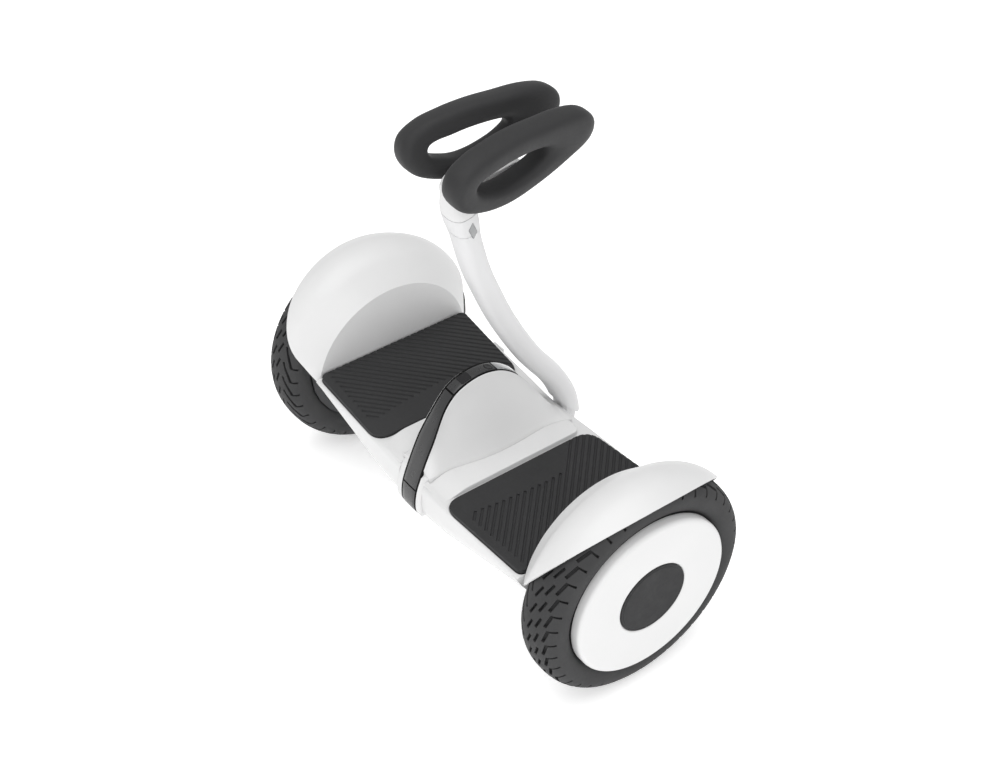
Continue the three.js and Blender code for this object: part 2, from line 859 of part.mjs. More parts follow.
const farReach = hull.halfLength + overrun;
const shell = hullShell();
const upper = block(-farReach, farReach, -farReach, farReach, hull.parting + gap / 2, plateau.height + overrun);
const lower = block(-farReach, farReach, -farReach, farReach, 0, hull.parting - gap / 2);
put(chassis, "body_shell", shell.intersect(upper), white);

const screwPlaces = [
  [-screw.across, -screw.along],
  [screw.across, -screw.along],
  [-screw.across, screw.along],
  [screw.across, screw.along],
];
const upright = (from, to, radius, [x, y], steps = 10) =>
  moved(alongZ(rod(from, to, radius, steps)), x, y, 0);

function bellyPan() {
  const floor = bellyHeight(screw.across);
  const bosses = screwPlaces.map((at) => upright(floor + hull.wall / 2, frame.railFoot - gap, screw.boss, at));
  const pan = join(shell.intersect(lower), ...bosses);
  const sinks = screwPlaces.flatMap((at) => [
    upright(floor - overrun, frame.railFoot, screw.radius + gap, at),
    upright(floor - overrun, floor + screw.headHeight + gap, screw.headRadius + gap, at),
  ]);
  return cut(pan, ...sinks);
}
put(chassis, "belly_pan", bellyPan(), white);

screwPlaces.forEach((at, i) => {
  const foot = bellyHeight(screw.across) + gap;
  const body = join(
    upright(foot, foot + screw.headHeight - gap, screw.headRadius, at),
    upright(foot, frame.railFoot + screw.grip, screw.radius, at),
  );
  put(chassis, `belly_screw_${i + 1}`, body, steel);
});

// Frame: a cast plate with two rails, a block for the steering shaft and one for each axle

const roof = hull.deckHeight - 1.6 * hull.wall - gap;
const plateTop = Math.min(roof, hump.seat - gap, pad.base - gap - hull.wall + hull.wall) - gap;
const plateFoot = plateTop - frame.plate;

function chassisFrame() {
  const plate = prismZ(
    roundedOutline(
      rectangle(-frame.halfLength, -frame.halfWidth, frame.halfLength, frame.halfWidth),
      plateau.corner,
    ),
    plateFoot,
    plateTop,
  );
  const rails = [-1, 1].map((sign) =>
    block(
      -frame.blockIn,
      frame.blockIn,
      Math.min(sign * frame.railIn, sign * frame.railOut),
      Math.max(sign * frame.railIn, sign * frame.railOut),
      frame.railFoot,
      plateFoot + gap,
    ),
  );
  const blocks = [-1, 1].map((sign) =>
    block(
      Math.min(sign * frame.blockIn, sign * frame.halfLength),
      Math.max(sign * frame.blockIn, sign * frame.halfLength),
      -frame.blockHalfWidth,
      frame.blockHalfWidth,
      axleHeight + gap / 2,
      plateFoot + gap,
    ),
  );
  const steerBlock = block(
    -bush.radius - 2 * hull.wall,
    bush.radius + 2 * hull.wall,
    bearing.rear - hull.wall,
    bearing.front + bearing.length,
    steer.height - bush.radius - hull.wall / 2,
    plateFoot + gap,
  );
  const holes = [-0.62, -0.34, 0.34, 0.62].map((share) =>
    upright(plateFoot - overrun, plateTop + overrun, frame.holeRadius, [share * frame.halfLength, 0], 16),
  );
  const bores = [
    rodY(bearing.rear - hull.wall - overrun, bearing.front + bearing.length + overrun, steer.shaftRadius + 2 * gap),
    rodY(bearing.rear, bearing.rear + bearing.length + gap, bearing.radius + gap),
    rodY(bearing.front - gap, bearing.front + bearing.length + overrun, bearing.radius + gap),
    rodY(bush.rear - gap, bush.front + gap, bush.radius + gap),
    moved(rod(-frame.halfLength - overrun, frame.halfLength + overrun, journal), 0, 0, axleHeight),
    ...screwPlaces.map((at) =>
      upright(frame.railFoot - overrun, frame.railFoot + screw.grip + gap, screw.radius + gap, at),
    ),
  ];
  return cut(join(plate, ...rails, ...blocks, steerBlock), ...holes, ...bores);
}

function rodY(from, to, radius, steps = 16) {
  return moved(alongY(rod(from, to, radius, steps)), 0, 0, steer.height);
}
const ringY = (from, to, outer, inner) =>
  moved(alongY(tube(from, to, outer, inner)), 0, 0, steer.height);
put(chassis, "chassis_frame", chassisFrame(), castAlloy);

for (const [side, sign] of sides) {
  const foot = bellyHeight(frame.halfLength) + hull.wall + 2 * gap;
  const body = cut(
    block(
      Math.min(sign * frame.blockIn, sign * frame.halfLength),
      Math.max(sign * frame.blockIn, sign * frame.halfLength),
      -frame.blockHalfWidth,
      frame.blockHalfWidth,
      foot,
      axleHeight - gap / 2,
    ),
    moved(rod(-frame.halfLength - overrun, frame.halfLength + overrun, journal), 0, 0, axleHeight),
  );
  put(chassis, `axle_clamp_${side}`, body, castAlloy);
}

// Battery, control board and charging socket

const batteryFoot = bellyHeight(battery.halfLength) + hull.wall + gap;
put(
  chassis,
  "battery_pack",
  prismZ(
    roundedOutline(
      rectangle(-battery.halfLength, battery.rear, battery.halfLength, battery.front),
      battery.corner,
    ),
    batteryFoot,
    battery.top,
  ),
  batteryBlue,
);

function controlBoard() {
  const top = plateFoot - gap;
  const foot = top - board.thickness;
  const sheet = block(-board.halfLength, board.halfLength, board.rear, board.front, foot, top);
  const chips = [-0.6, -0.15, 0.35].map((share) => {
    const middle = share * board.halfLength;
    const half = board.chipHeight * 2;
    return block(middle - half, middle + half, board.rear + half, board.rear + 3 * half, foot - board.chipHeight, foot);
  });
  return join(sheet, ...chips);
}
put(chassis, "control_board", controlBoard(), boardGreen);

const wallAt = frontEdge(charge.across);
put(
  chassis,
  "charge_socket",
  moved(
    cut(
      alongY(rod(wallAt - charge.depth, wallAt - gap, charge.radius)),
      alongY(rod(wallAt - charge.depth / 2, wallAt + overrun, charge.bore)),
    ),
    charge.across,
    0,
    charge.height,
  ),
  glossBlack,
);

const flapHinge = { y: wallAt + flap.knuckle + 2 * gap, z: charge.height + charge.radius + 2 * gap };
function chargeFlap() {
  const back = flapHinge.y - flap.knuckle + gap;
  const leaf = block(
    charge.across - flap.halfWidth,
    charge.across + flap.halfWidth,
    back,
    back + flap.thickness,
    flapHinge.z - flap.height,
    flapHinge.z,
  );
  const knuckle = moved(
    rod(charge.across - flap.halfWidth, charge.across + flap.halfWidth, flap.knuckle, 16),
    0,
    flapHinge.y,
    flapHinge.z,
  );
  return join(leaf, knuckle);
}
put(chassis, "charge_port_flap", chargeFlap(), darkRubber);

// Steering: a shaft along Y in the frame carries the neck, and the neck carries the bar.

const hubRear = frontEdge(bar.halfWidth) + gap;
put(
  steering,
  "steering_shaft",
  rodY(steer.shaftRear, steer.hubFront - hull.wall, steer.shaftRadius),
  steel,
);
put(
  chassis,
  "steering_bearing_rear",
  ringY(bearing.rear + gap, bearing.rear + bearing.length, bearing.radius, steer.shaftRadius + gap),
  steel,
);
put(
  chassis,
  "steering_bearing_front",
  ringY(bearing.front, bearing.front + bearing.length, bearing.radius, steer.shaftRadius + gap),
  steel,
);
put(
  chassis,
  "centring_bush",
  ringY(bush.rear, bush.front, bush.radius, steer.shaftRadius + gap),
  darkRubber,
);

// The middle line of the bar in (y, z), from its foot to its straight top.
const barTop = [-39, bar.top];
const barLine = [
  [106.3, 122],
  [104.8, 145],
  [98, 170],
  [81.5, 201],
  [49.5, 246],
  [17.5, 303],
  [-3.5, 350],
  [-21.5, 398],
  barTop,
];

// Sections square to the middle line, with the bar's width along X.
function barBody(inset) {
  const line = curvePoints(barLine, 0, 1, bar.steps);
  return loft(
    line.map(([y, z], i) => {
      const [p, q] = [line[Math.max(i - 1, 0)], line[Math.min(i + 1, bar.steps)]];
      const along = new THREE.Vector2(q[0] - p[0], q[1] - p[1]).normalize();
      return oval(bar.halfWidth - inset, bar.halfDepth - inset, bar.sides).map(
        ([across, out]) => new THREE.Vector3(across, y + along.y * out, z - along.x * out),
      );
    }),
  );
}

// The slanted foot of the bar: all that lies above it, up to a height.
const barFoot = (top) =>
  prismX(
    [
      [95, 155.4],
      [110, 139.6],
      [116, 140.5],
      [119.5, 147],
      [steer.hubFront + 4 * bar.wall, top],
      [-hull.rearReach, top],
      [-hull.rearReach, 349],
    ],
    -2 * bar.halfWidth,
    2 * bar.halfWidth,
  );

const release = { share: 0.9, halfWidth: 4.5, halfLength: 10, travel: 1.2, proud: 0.4 };

function releaseButton(grow, from, to) {
  const curve = new THREE.SplineCurve(barLine.map(([a, b]) => new THREE.Vector2(a, b)));
  const [place, along] = [curve.getPointAt(release.share), curve.getTangentAt(release.share)];
  const [w, l] = [release.halfWidth + grow, release.halfLength + grow];
  const outline = [[w, -l / 3], [w * 0.4, l], [-w, l / 3], [-w * 0.4, -l]];
  const turn = Math.atan2(along.x, along.y);
  const placed = outline.map(([a, b]) => [
    place.x + a * Math.cos(turn) + b * Math.sin(turn),
    place.y - a * Math.sin(turn) + b * Math.cos(turn),
  ]);
  return prismX(placed, from, to);
}

function kneeBar() {
  const bore = barBody(bar.wall);
  return cut(
    barBody(0).intersect(barFoot(bar.top + overrun)),
    bore,
    moved(bore, 0, -lean.back * gap, lean.up * gap),
    releaseButton(gap, bar.halfWidth - 2 * bar.wall, bar.halfWidth + overrun),
  );
}
put(steering, "knee_bar", kneeBar(), white);

function neckCasting() {
  const hub = rodY(hubRear, steer.hubFront, steer.hubRadius);
  const plug = barBody(bar.wall + gap).intersect(
    prismX(
      [
        [hubRear, steer.height],
        [steer.hubFront, steer.height],
        [steer.hubFront + bar.wall, steer.height + steer.hubRadius],
        [steer.hubFront + 4 * bar.wall, bar.plugTop],
        [hubRear - 2 * bar.halfDepth, bar.plugTop],
        [hubRear - 2 * bar.halfDepth, steer.height + 2 * steer.hubRadius],
      ],
      -bar.halfWidth,
      bar.halfWidth,
    ),
  );
  return cut(
    join(hub, plug),
    rodY(hubRear - overrun, steer.hubFront - hull.wall + gap, steer.shaftRadius + gap),
  );
}
put(steering, "neck_casting", neckCasting(), castAlloy);

const releaseBack = bar.halfWidth - bar.wall + gap;
put(
  steering,
  "release_button",
  releaseButton(0, releaseBack, bar.halfWidth + release.proud),
  capGrey,
);

// Places up the straight top of the bar, measured from its upper end.
const upBar = (distance) => [barTop[0] - lean.back * distance, barTop[1] + lean.up * distance];

function straight(outline, from, to) {
  const at = (distance) => {
    const [y, z] = upBar(distance);
    return outline.map(
      ([across, out]) => new THREE.Vector3(across, y + lean.up * out, z + lean.back * out),
    );
  };
  return loft([at(from), at(to)]);
}

const bushing = { length: 24, halfWidth: 12 };
put(
  steering,
  "bar_bushing",
  cut(
    straight(oval(bushing.halfWidth, bar.halfDepth - bar.wall - 2 * gap, bar.sides), -bushing.length, -gap),
    straight(oval(head.spigotRadius + gap, head.spigotRadius + gap, 16, 2), -bushing.length - overrun, overrun),
  ),
  darkRubber,
);

function kneeHead() {
  const spigot = straight(oval(head.spigotRadius, head.spigotRadius, 16, 2), -head.spigotLength, 10);
  const tapers = [
    [gap, bar.halfWidth, bar.halfDepth],
    [9, bar.halfWidth - 0.4, bar.halfDepth + 0.5],
    [20, bar.halfWidth - 3, bar.halfDepth + 3],
    [34, head.keelHalfWidth + 1, bar.halfDepth + 5],
    [44, head.keelHalfWidth, bar.halfDepth + 4],
  ];
  const collar = loft(
    tapers.map(([distance, halfWidth, halfDepth]) => {
      const [y, z] = upBar(distance);
      return oval(halfWidth, halfDepth, bar.sides).map(
        ([across, out]) => new THREE.Vector3(across, y + lean.up * out, z + lean.back * out),
      );
    }),
  );
  const keel = prismX(
    [
      [-56, 490],
      [-20, 484],
      [0, 489],
      [22, 491],
      [38, 499],
      [36, 507],
      [22, 509],
      [-24, 508],
      [-46, 519],
      [-58, 519],
      [-63, 507],
    ],
    -head.keelHalfWidth,
    head.keelHalfWidth,
  );
  return cut(join(spigot, collar, keel), boltBore(ringBolt.rear, gap), boltBore(ringBolt.front, gap));
}

function boltBore(y, grow) {
  const reach = ringBolt.halfLength + grow;
  return moved(rod(-reach, reach, ringBolt.radius + grow, 12), 0, y, ringBolt.height);
}
put(steering, "knee_head", kneeHead(), white);
put(steering, "ring_bolt_rear", boltBore(ringBolt.rear, 0), steel);
put(steering, "ring_bolt_front", boltBore(ringBolt.front, 0), steel);

// Knee rings: leaf shaped loops whose planes splay upwards and close in towards the front.

const ringShares = [
  // along its length, below its top line, and whether the thin lower band is here
  [0.085, 0, 0],
  [0.4235, 0.036, 0],
  [0.831, 0.1, 0],
  [1, 0.27, 0.05],
  [0.8, 0.675, 1],
  [0.486, 1, 1],
  [0.16, 0.88, 1],
  [0, 0.31, -0.05],
];

function kneeRing() {
  const forward = new THREE.Vector3(
    -Math.sin(ring.toeIn) * Math.cos(ring.rise),
    Math.cos(ring.toeIn) * Math.cos(ring.rise),
    Math.sin(ring.rise),
  );
  const up = new THREE.Vector3(Math.sin(ring.splay), 0, Math.cos(ring.splay));
  up.addScaledVector(forward, -up.dot(forward)).normalize();
  const out = new THREE.Vector3().crossVectors(forward, up);
  const middle = new THREE.Vector3(ring.halfSpacing, 0, ring.height);
  const line = new THREE.CatmullRomCurve3(
    ringShares.map(
      ([alongShare, dropShare, lowShare]) =>
        new THREE.Vector3(
          alongShare * ring.length - ring.back,
          -dropShare * ring.drop,
          ring.halfBand + lowShare * (ring.halfLowBand - ring.halfBand),
        ),
    ),
    true,
    "catmullrom",
    0.5,
  );
  const sections = Array.from({ length: ring.steps }, (_, i) => {
    const at = line.getPoint(i / ring.steps);
    const step = line.getPoint(((i + 0.5) % ring.steps) / ring.steps);
    step.sub(line.getPoint(((i - 0.5 + ring.steps) % ring.steps) / ring.steps));
    const along = new THREE.Vector2(step.x, step.y).normalize();
    return oval(at.z, ring.halfThickness, ring.sides).map(([inPlane, across]) =>
      middle
        .clone()
        .addScaledVector(forward, at.x - along.y * inPlane)
        .addScaledVector(up, at.y + along.x * inPlane)
        .addScaledVector(out, across),
    );
  });
  return cut(loft(sections, true), boltBore(ringBolt.rear, gap), boltBore(ringBolt.front, gap));
}

const ringRight = kneeRing();
put(steering, "knee_ring_right", ringRight, darkRubber);
put(steering, "knee_ring_left", mirrored(ringRight), darkRubber);

export default transporter;
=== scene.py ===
"""The looks of a self balancing personal transporter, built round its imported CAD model.

Sizes are in millimetres and the scene is in metres. X points right, Y towards the knee bar and Z up.
"""

import logging
import math
from collections.abc import Callable, Sequence
from dataclasses import dataclass, field
from enum import Enum

import bmesh
import bpy
import numpy as np
from mathutils import Matrix, Quaternion, Vector


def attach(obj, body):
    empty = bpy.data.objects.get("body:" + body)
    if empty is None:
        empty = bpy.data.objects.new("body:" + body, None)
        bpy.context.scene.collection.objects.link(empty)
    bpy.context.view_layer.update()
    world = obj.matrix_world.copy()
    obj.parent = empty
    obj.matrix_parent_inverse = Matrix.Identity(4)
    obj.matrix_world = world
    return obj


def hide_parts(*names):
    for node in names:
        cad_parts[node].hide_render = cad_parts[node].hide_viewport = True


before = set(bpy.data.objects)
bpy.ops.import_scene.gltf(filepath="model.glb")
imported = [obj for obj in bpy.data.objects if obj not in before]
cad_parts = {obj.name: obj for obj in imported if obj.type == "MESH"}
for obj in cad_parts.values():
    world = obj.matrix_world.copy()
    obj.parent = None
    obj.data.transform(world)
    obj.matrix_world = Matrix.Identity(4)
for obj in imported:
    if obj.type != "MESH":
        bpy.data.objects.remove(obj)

logging.basicConfig(level=logging.INFO, format="%(message)s")
LOG = logging.getLogger("transporter")

MM = 0.001
GAP = 0.3
FULL_TURN = 2 * math.pi

Flat = tuple[float, float]
Point = tuple[float, float, float]
Colour = tuple[float, float, float]

NOISE_MIDDLE: Flat = (0.3, 0.7)
WORN_EDGE: Flat = (0.52, 0.62)
TRACK_PITCH = 9.0
TRACK_COLOUR = (0.12, 0.3, 0.16, 1)
COAT_ROUGHNESS = 0.08
MERGE_REACH = 2e-6


class Side(Enum):
    """The two sides of the transporter, with the sign of X there."""

    LEFT = -1
    RIGHT = 1

    @property
    def label(self) -> str:
        """The side's name as it ends the names of nodes."""
        return self.name.lower()


class Slot(Enum):
    """The record's material slots, named alongside each new piece."""

    WHITE = "white_plastic"
    ALLOY = "white_alloy"
    TYRE = "tyre"
    PAD = "pad_rubber"
    PADDING = "padding"
    BLACK = "black_gloss"
    LENS = "grey_lens"
    DARK = "dark_plastic"


class Relief(Enum):
    """The small forms of a surface."""

    SATIN = "a fine even texture of moulded plastic"
    GRAIN = "a fine leather grain moulded into a skin"
    RUBBER = "the open surface of moulded rubber"
    CAST = "the coarse skin of cast metal"
    TURNED = "fine rings of a lathe about the X axis"
    TRACES = "copper tracks on a circuit board"


@dataclass(frozen=True)
class Finish:
    """A procedural finish: colour, gloss and relief that vary over the piece."""

    name: str
    colour: Colour
    roughness: float
    relief: Relief = Relief.SATIN
    metallic: float = 0.0
    blotch_share: float = 0.03
    blotch_size: float = 45.0
    roughness_spread: float = 0.06
    grain_size: float = 0.7
    grain_height: float = 0.02
    wear: float = 0.0
    wear_colour: Colour = (0.3, 0.3, 0.3)
    coat: float = 0.0
    sheen: float = 0.0
    specular: float = 0.5

    def material(self) -> bpy.types.Material:
        """The finish as a material, made once and then shared."""
        known = bpy.data.materials.get(self.name)
        return known or Mixing(self).material


class Mixing:
    """The nodes of one finish, put together."""

    def __init__(self, finish: Finish) -> None:
        """Makes the material.

        Args:
            finish: what the surface is like.
        """
        self.finish = finish
        self.material = bpy.data.materials.new(finish.name)
        self.material.use_nodes = True
        self.nodes = self.material.node_tree.nodes
        self.links = self.material.node_tree.links
        self.shader = self.nodes["Principled BSDF"]
        self.place = self.nodes.new("ShaderNodeTexCoord").outputs["Object"]
        self.shader.inputs["Metallic"].default_value = finish.metallic
        self.shader.inputs["Coat Weight"].default_value = finish.coat
        self.shader.inputs["Coat Roughness"].default_value = COAT_ROUGHNESS
        self.shader.inputs["Sheen Weight"].default_value = finish.sheen
        self.shader.inputs["Specular IOR Level"].default_value = finish.specular
        self.links.new(self.colour(), self.shader.inputs["Base Color"])
        self.links.new(self.gloss(), self.shader.inputs["Roughness"])
        self.links.new(self.bump(), self.shader.inputs["Normal"])

    def node(self, kind: str, **inputs: object) -> bpy.types.Node:
        """A new node with its inputs set or linked.

        Args:
            kind: the node's type name.
            inputs: input names with underscores for spaces, and a value or a socket for each.

        Returns:
            The node.
        """
        made = self.nodes.new(kind)
        for name, value in inputs.items():
            socket = made.inputs[name.replace("_", " ")]
            if isinstance(value, bpy.types.NodeSocket):
                self.links.new(value, socket)
            else:
                socket.default_value = value
        return made

    def noise(self, size: float, detail: float = 2.0, roughness: float = 0.5) -> bpy.types.NodeSocket:
        """Noise whose forms are about that many millimetres across.

        Args:
            size: how many millimetres its forms are across.
            detail: how many finer layers it has.
            roughness: how strong those are.

        Returns:
            A value from 0 to 1.
        """
        scale = 1 / (size * MM)
        made = self.node(
            "ShaderNodeTexNoise", Vector=self.place, Scale=scale, Detail=detail, Roughness=roughness,
        )
        return made.outputs["Fac"]

    def spread(self, value: bpy.types.NodeSocket, low: float, high: float) -> bpy.types.NodeSocket:
        """The middle part of a noise value stretched from low to high.

        Args:
            value: the noise.
            low: what the low end becomes.
            high: what the high end becomes.

        Returns:
            The stretched value.
        """
        start, end = NOISE_MIDDLE
        made = self.node(
            "ShaderNodeMapRange", Value=value, From_Min=start, From_Max=end, To_Min=low, To_Max=high,
        )
        return made.outputs["Result"]

    def times(self, first: bpy.types.NodeSocket, second: bpy.types.NodeSocket) -> bpy.types.NodeSocket:
        """One value times another.

        Args:
            first: a value.
            second: what it is multiplied by.

        Returns:
            The product.
        """
        made = self.node("ShaderNodeMath", Value=first)
        made.operation = "MULTIPLY"
        self.links.new(second, made.inputs[1])
        return made.outputs[0]

    def blend(self, share: bpy.types.NodeSocket, low: Colour, high: Colour) -> bpy.types.NodeSocket:
        """One colour that turns into another with a share.

        Args:
            share: from 0 to 1.
            low: the colour at 0.
            high: the colour at 1.

        Returns:
            The colour.
        """
        made = self.nodes.new("ShaderNodeValToRGB")
        made.color_ramp.elements[0].color = (*low, 1)
        made.color_ramp.elements[1].color = (*high, 1)
        self.links.new(share, made.inputs["Fac"])
        return made.outputs["Color"]

    def over(self, share: object, under: object, upper: object) -> bpy.types.NodeSocket:
        """A colour laid over another by a share.

        Args:
            share: how much of the upper colour shows.
            under: the colour below, or its socket.
            upper: the colour on top, or its socket.

        Returns:
            The colour.
        """
        made = self.nodes.new("ShaderNodeMix")
        made.data_type = "RGBA"
        sockets = {"Factor_Float": share, "A_Color": under, "B_Color": upper}
        for socket in made.inputs:
            value = sockets.get(socket.identifier)
            if isinstance(value, bpy.types.NodeSocket):
                self.links.new(value, socket)
            elif value is not None:
                socket.default_value = value
        return next(o for o in made.outputs if o.identifier == "Result_Color")

    def colour(self) -> bpy.types.NodeSocket:
        """The base colour, with soft blotches and paler worn edges.

        Returns:
            The colour's socket.
        """
        share = self.finish.blotch_share
        dark = tuple(c * (1 - share) for c in self.finish.colour)
        light = tuple(min(1.0, c * (1 + share)) for c in self.finish.colour)
        base = self.blend(self.spread(self.noise(self.finish.blotch_size, 4), 0, 1), dark, light)
        speck = self.spread(self.noise(self.finish.grain_size * 1.5, 3), 0, share * 1.5)
        base = self.over(speck, base, (*(c * 0.75 for c in self.finish.colour), 1))
        if self.finish.relief is Relief.TRACES:
            return self.traces(base)
        if not self.finish.wear:
            return base
        edge = self.node("ShaderNodeNewGeometry").outputs["Pointiness"]
        start, end = WORN_EDGE
        worn = self.node("ShaderNodeMapRange", Value=edge, From_Min=start, From_Max=end).outputs["Result"]
        broken = self.times(worn, self.spread(self.noise(6, 5, 0.7), 0, self.finish.wear))
        return self.over(broken, base, (*self.finish.wear_colour, 1))

    def traces(self, base: bpy.types.NodeSocket) -> bpy.types.NodeSocket:
        """Paler tracks on a board.

        Args:
            base: the board's own colour.

        Returns:
            The colour with its tracks.
        """
        scale = 1 / (TRACK_PITCH * MM)
        brick = self.node("ShaderNodeTexBrick", Vector=self.place, Scale=scale, Mortar_Size=0.06)
        track = self.blend(brick.outputs["Fac"], (0, 0, 0), (1, 1, 1))
        return self.over(track, base, TRACK_COLOUR)

    def gloss(self) -> bpy.types.NodeSocket:
        """Roughness that varies in soft patches, with finer handling marks.

        Returns:
            The roughness's socket.
        """
        middle, spread = self.finish.roughness, self.finish.roughness_spread
        soft = self.noise(self.finish.blotch_size / 2, 5, 0.6)
        patches = self.spread(soft, middle - spread, middle + spread)
        marks = self.spread(self.noise(4, 4, 0.7), 1 - spread, 1 + spread)
        return self.times(patches, marks)

    def bump(self) -> bpy.types.NodeSocket:
        """The relief as a bumped normal.

        Returns:
            The normal's socket.
        """
        reach = self.finish.grain_height * MM
        made = self.node("ShaderNodeBump", Height=self.height(), Strength=1.0, Distance=reach)
        return made.outputs["Normal"]

    def height(self) -> bpy.types.NodeSocket:
        """The height of the relief, from 0 to 1.

        Returns:
            The height's socket.
        """
        size = self.finish.grain_size
        if self.finish.relief is Relief.GRAIN:
            scale = 1 / (size * MM)
            cells = self.node("ShaderNodeTexVoronoi", Vector=self.place, Scale=scale, Randomness=0.9)
            cells.feature = "SMOOTH_F1"
            return cells.outputs["Distance"]
        if self.finish.relief is Relief.TURNED:
            scale = 1 / (size * 6 * MM)
            rings = self.node("ShaderNodeTexWave", Vector=self.place, Scale=scale, Distortion=0.4)
            rings.wave_type = "RINGS"
            rings.rings_direction = "X"
            return rings.outputs["Fac"]
        detail = {Relief.CAST: 6.0, Relief.RUBBER: 5.0}.get(self.finish.relief, 2.0)
        return self.noise(size, detail, 0.6)


WHITE = Finish(
    "white plastic", (0.72, 0.72, 0.72), 0.4, blotch_share=0.012, grain_size=0.9, grain_height=0.006,
)
WHITE_PAINT = Finish(
    "white painted alloy", (0.72, 0.72, 0.725), 0.4, blotch_share=0.012, grain_size=1.4, grain_height=0.004,
)
PAD_RUBBER = Finish(
    "foot pad rubber", (0.028, 0.028, 0.029), 0.62, Relief.RUBBER, blotch_share=0.08, grain_size=0.5,
    grain_height=0.03, wear=0.2, wear_colour=(0.07, 0.07, 0.07), specular=0.3,
)
TYRE_RUBBER = Finish(
    "tyre rubber", (0.042, 0.042, 0.043), 0.68, Relief.RUBBER, blotch_share=0.12, blotch_size=30,
    grain_size=0.8, grain_height=0.05, wear=0.2, wear_colour=(0.08, 0.08, 0.08), specular=0.25,
)
PADDING = Finish(
    "moulded foam skin", (0.026, 0.026, 0.027), 0.6, Relief.GRAIN, blotch_share=0.06, grain_size=0.8,
    grain_height=0.05, sheen=0.05, specular=0.3,
)
BLACK_GLOSS = Finish(
    "dark gloss strip", (0.034, 0.034, 0.035), 0.28, blotch_share=0.02, grain_size=0.5, grain_height=0.002,
    roughness_spread=0.04,
)
# Near black, laid under the strip's seams and along its edges: painted shade standing for the shadow in those
# gaps.
SHADE_BLACK = Finish(
    "near black painted shade in seams", (0.004, 0.004, 0.004), 0.7, blotch_share=0.05, grain_size=0.5, grain_height=0.004,
    specular=0.1,
)
WINDOW = Finish(
    "display window", (0.012, 0.012, 0.013), 0.12, blotch_share=0.02, grain_size=0.5, grain_height=0.001,
    roughness_spread=0.02, specular=0.4,
)
LENS = Finish(
    "grey lens", (0.33, 0.335, 0.34), 0.16, blotch_share=0.03, grain_size=1.2, grain_height=0.01, coat=0.3,
)
CAP_PLASTIC = Finish(
    "hub cap plastic", (0.018, 0.018, 0.019), 0.6, blotch_share=0.04, grain_size=0.4, grain_height=0.012,
    wear=0.2, wear_colour=(0.06, 0.06, 0.06), specular=0.25,
)
CAST_ALLOY = Finish(
    "cast alloy", (0.28, 0.285, 0.29), 0.5, Relief.CAST, metallic=0.8, blotch_share=0.08, grain_size=1.2,
    grain_height=0.08,
)
# Near black, given to the rim, motor cover and stator: painted shade standing for the shadow inside the
# wheel.
SHADE_DARK_CAST = Finish(
    "casting darkened as painted shade", (0.05, 0.05, 0.052), 0.55, Relief.CAST, metallic=0.3, blotch_share=0.08,
    grain_size=1.2, grain_height=0.06,
)
STEEL = Finish(
    "turned steel", (0.5, 0.51, 0.52), 0.28, Relief.TURNED, metallic=1.0, blotch_share=0.04,
    grain_size=0.3, grain_height=0.01,
)
BOARD = Finish(
    "board", (0.012, 0.075, 0.035), 0.45, Relief.TRACES, blotch_share=0.05, grain_size=0.6,
    grain_height=0.02,
)
PAPER = Finish(
    "floor paper", (0.96, 0.96, 0.96), 0.9, blotch_share=0.004, grain_size=2, grain_height=0.01,
)
BATTERY = Finish(
    "battery sleeve", (0.027, 0.032, 0.038), 0.55, blotch_share=0.08, grain_size=0.8, grain_height=0.04,
)


class Line:
    """A smooth line through flat points, measured by shares of its length."""

    SAMPLES = 600

    def __init__(self, points: Sequence[Sequence[float]], looped: bool = False) -> None:
        """Samples the line.

        Args:
            points: what it runs through.
            looped: whether it returns to its first point.
        """
        rows = np.array(points, float)
        count = len(rows)
        spans = count if looped else count - 1
        steps = np.linspace(0, spans, self.SAMPLES + 1)
        at = np.minimum(steps.astype(int), spans - 1)
        weight = (steps - at)[:, None]

        def pick(shift: int) -> np.ndarray:
            """The control points some places on from each sample's own."""
            index = (at + shift) % count if looped else np.clip(at + shift, 0, count - 1)
            return rows[index]

        p, q, r, s = (pick(shift) for shift in (-1, 0, 1, 2))
        square, cube = 2 * p - 5 * q + 4 * r - s, 3 * q - p - 3 * r + s
        self.samples = 0.5 * (2 * q + (r - p) * weight + square * weight**2 + cube * weight**3)
        steps = np.linalg.norm(np.diff(self.samples[:, :2], axis=0), axis=1)
        self.shares = np.concatenate([[0], np.cumsum(steps)]) / steps.sum()

    def at(self, share: float) -> tuple[float, ...]:
        """The point at a share of the length."""
        return tuple(float(np.interp(share, self.shares, column)) for column in self.samples.T)

    def along(self, share: float) -> Vector:
        """The direction of the line at a share of its length.

        Args:
            share: of the length.

        Returns:
            A unit direction.
        """
        reach = 0.002
        ahead, behind = self.at(min(share + reach, 1)), self.at(max(share - reach, 0))
        return Vector((ahead[0] - behind[0], ahead[1] - behind[1])).normalized()

    def height(self, place: float) -> float:
        """The second coordinate where the first has a value, on the part where the first grows."""
        low = int(np.argmin(self.samples[:, 0]))
        return float(np.interp(place, self.samples[low:, 0], self.samples[low:, 1]))


def rounded(corners: Sequence[Flat], reach: float | Sequence[float], steps: int = 6) -> list[Flat]:
    """An outline with each corner rounded.

    Args:
        corners: the sharp outline.
        reach: how far before and after a corner its round starts, for all or for each.
        steps: pieces in each round.

    Returns:
        The outline's points.
    """
    reaches = [reach] * len(corners) if isinstance(reach, (int, float)) else list(reach)
    made: list[Flat] = []
    for i, corner in enumerate(corners):
        here = Vector(corner)
        before = Vector(corners[i - 1]) - here
        after = Vector(corners[(i + 1) % len(corners)]) - here
        start = here + before.normalized() * min(reaches[i], before.length * 0.49)
        end = here + after.normalized() * min(reaches[i], after.length * 0.49)
        for k in range(steps + 1):
            t = k / steps
            made.append(tuple(start * (1 - t) ** 2 + here * 2 * t * (1 - t) + end * t**2))
    return made


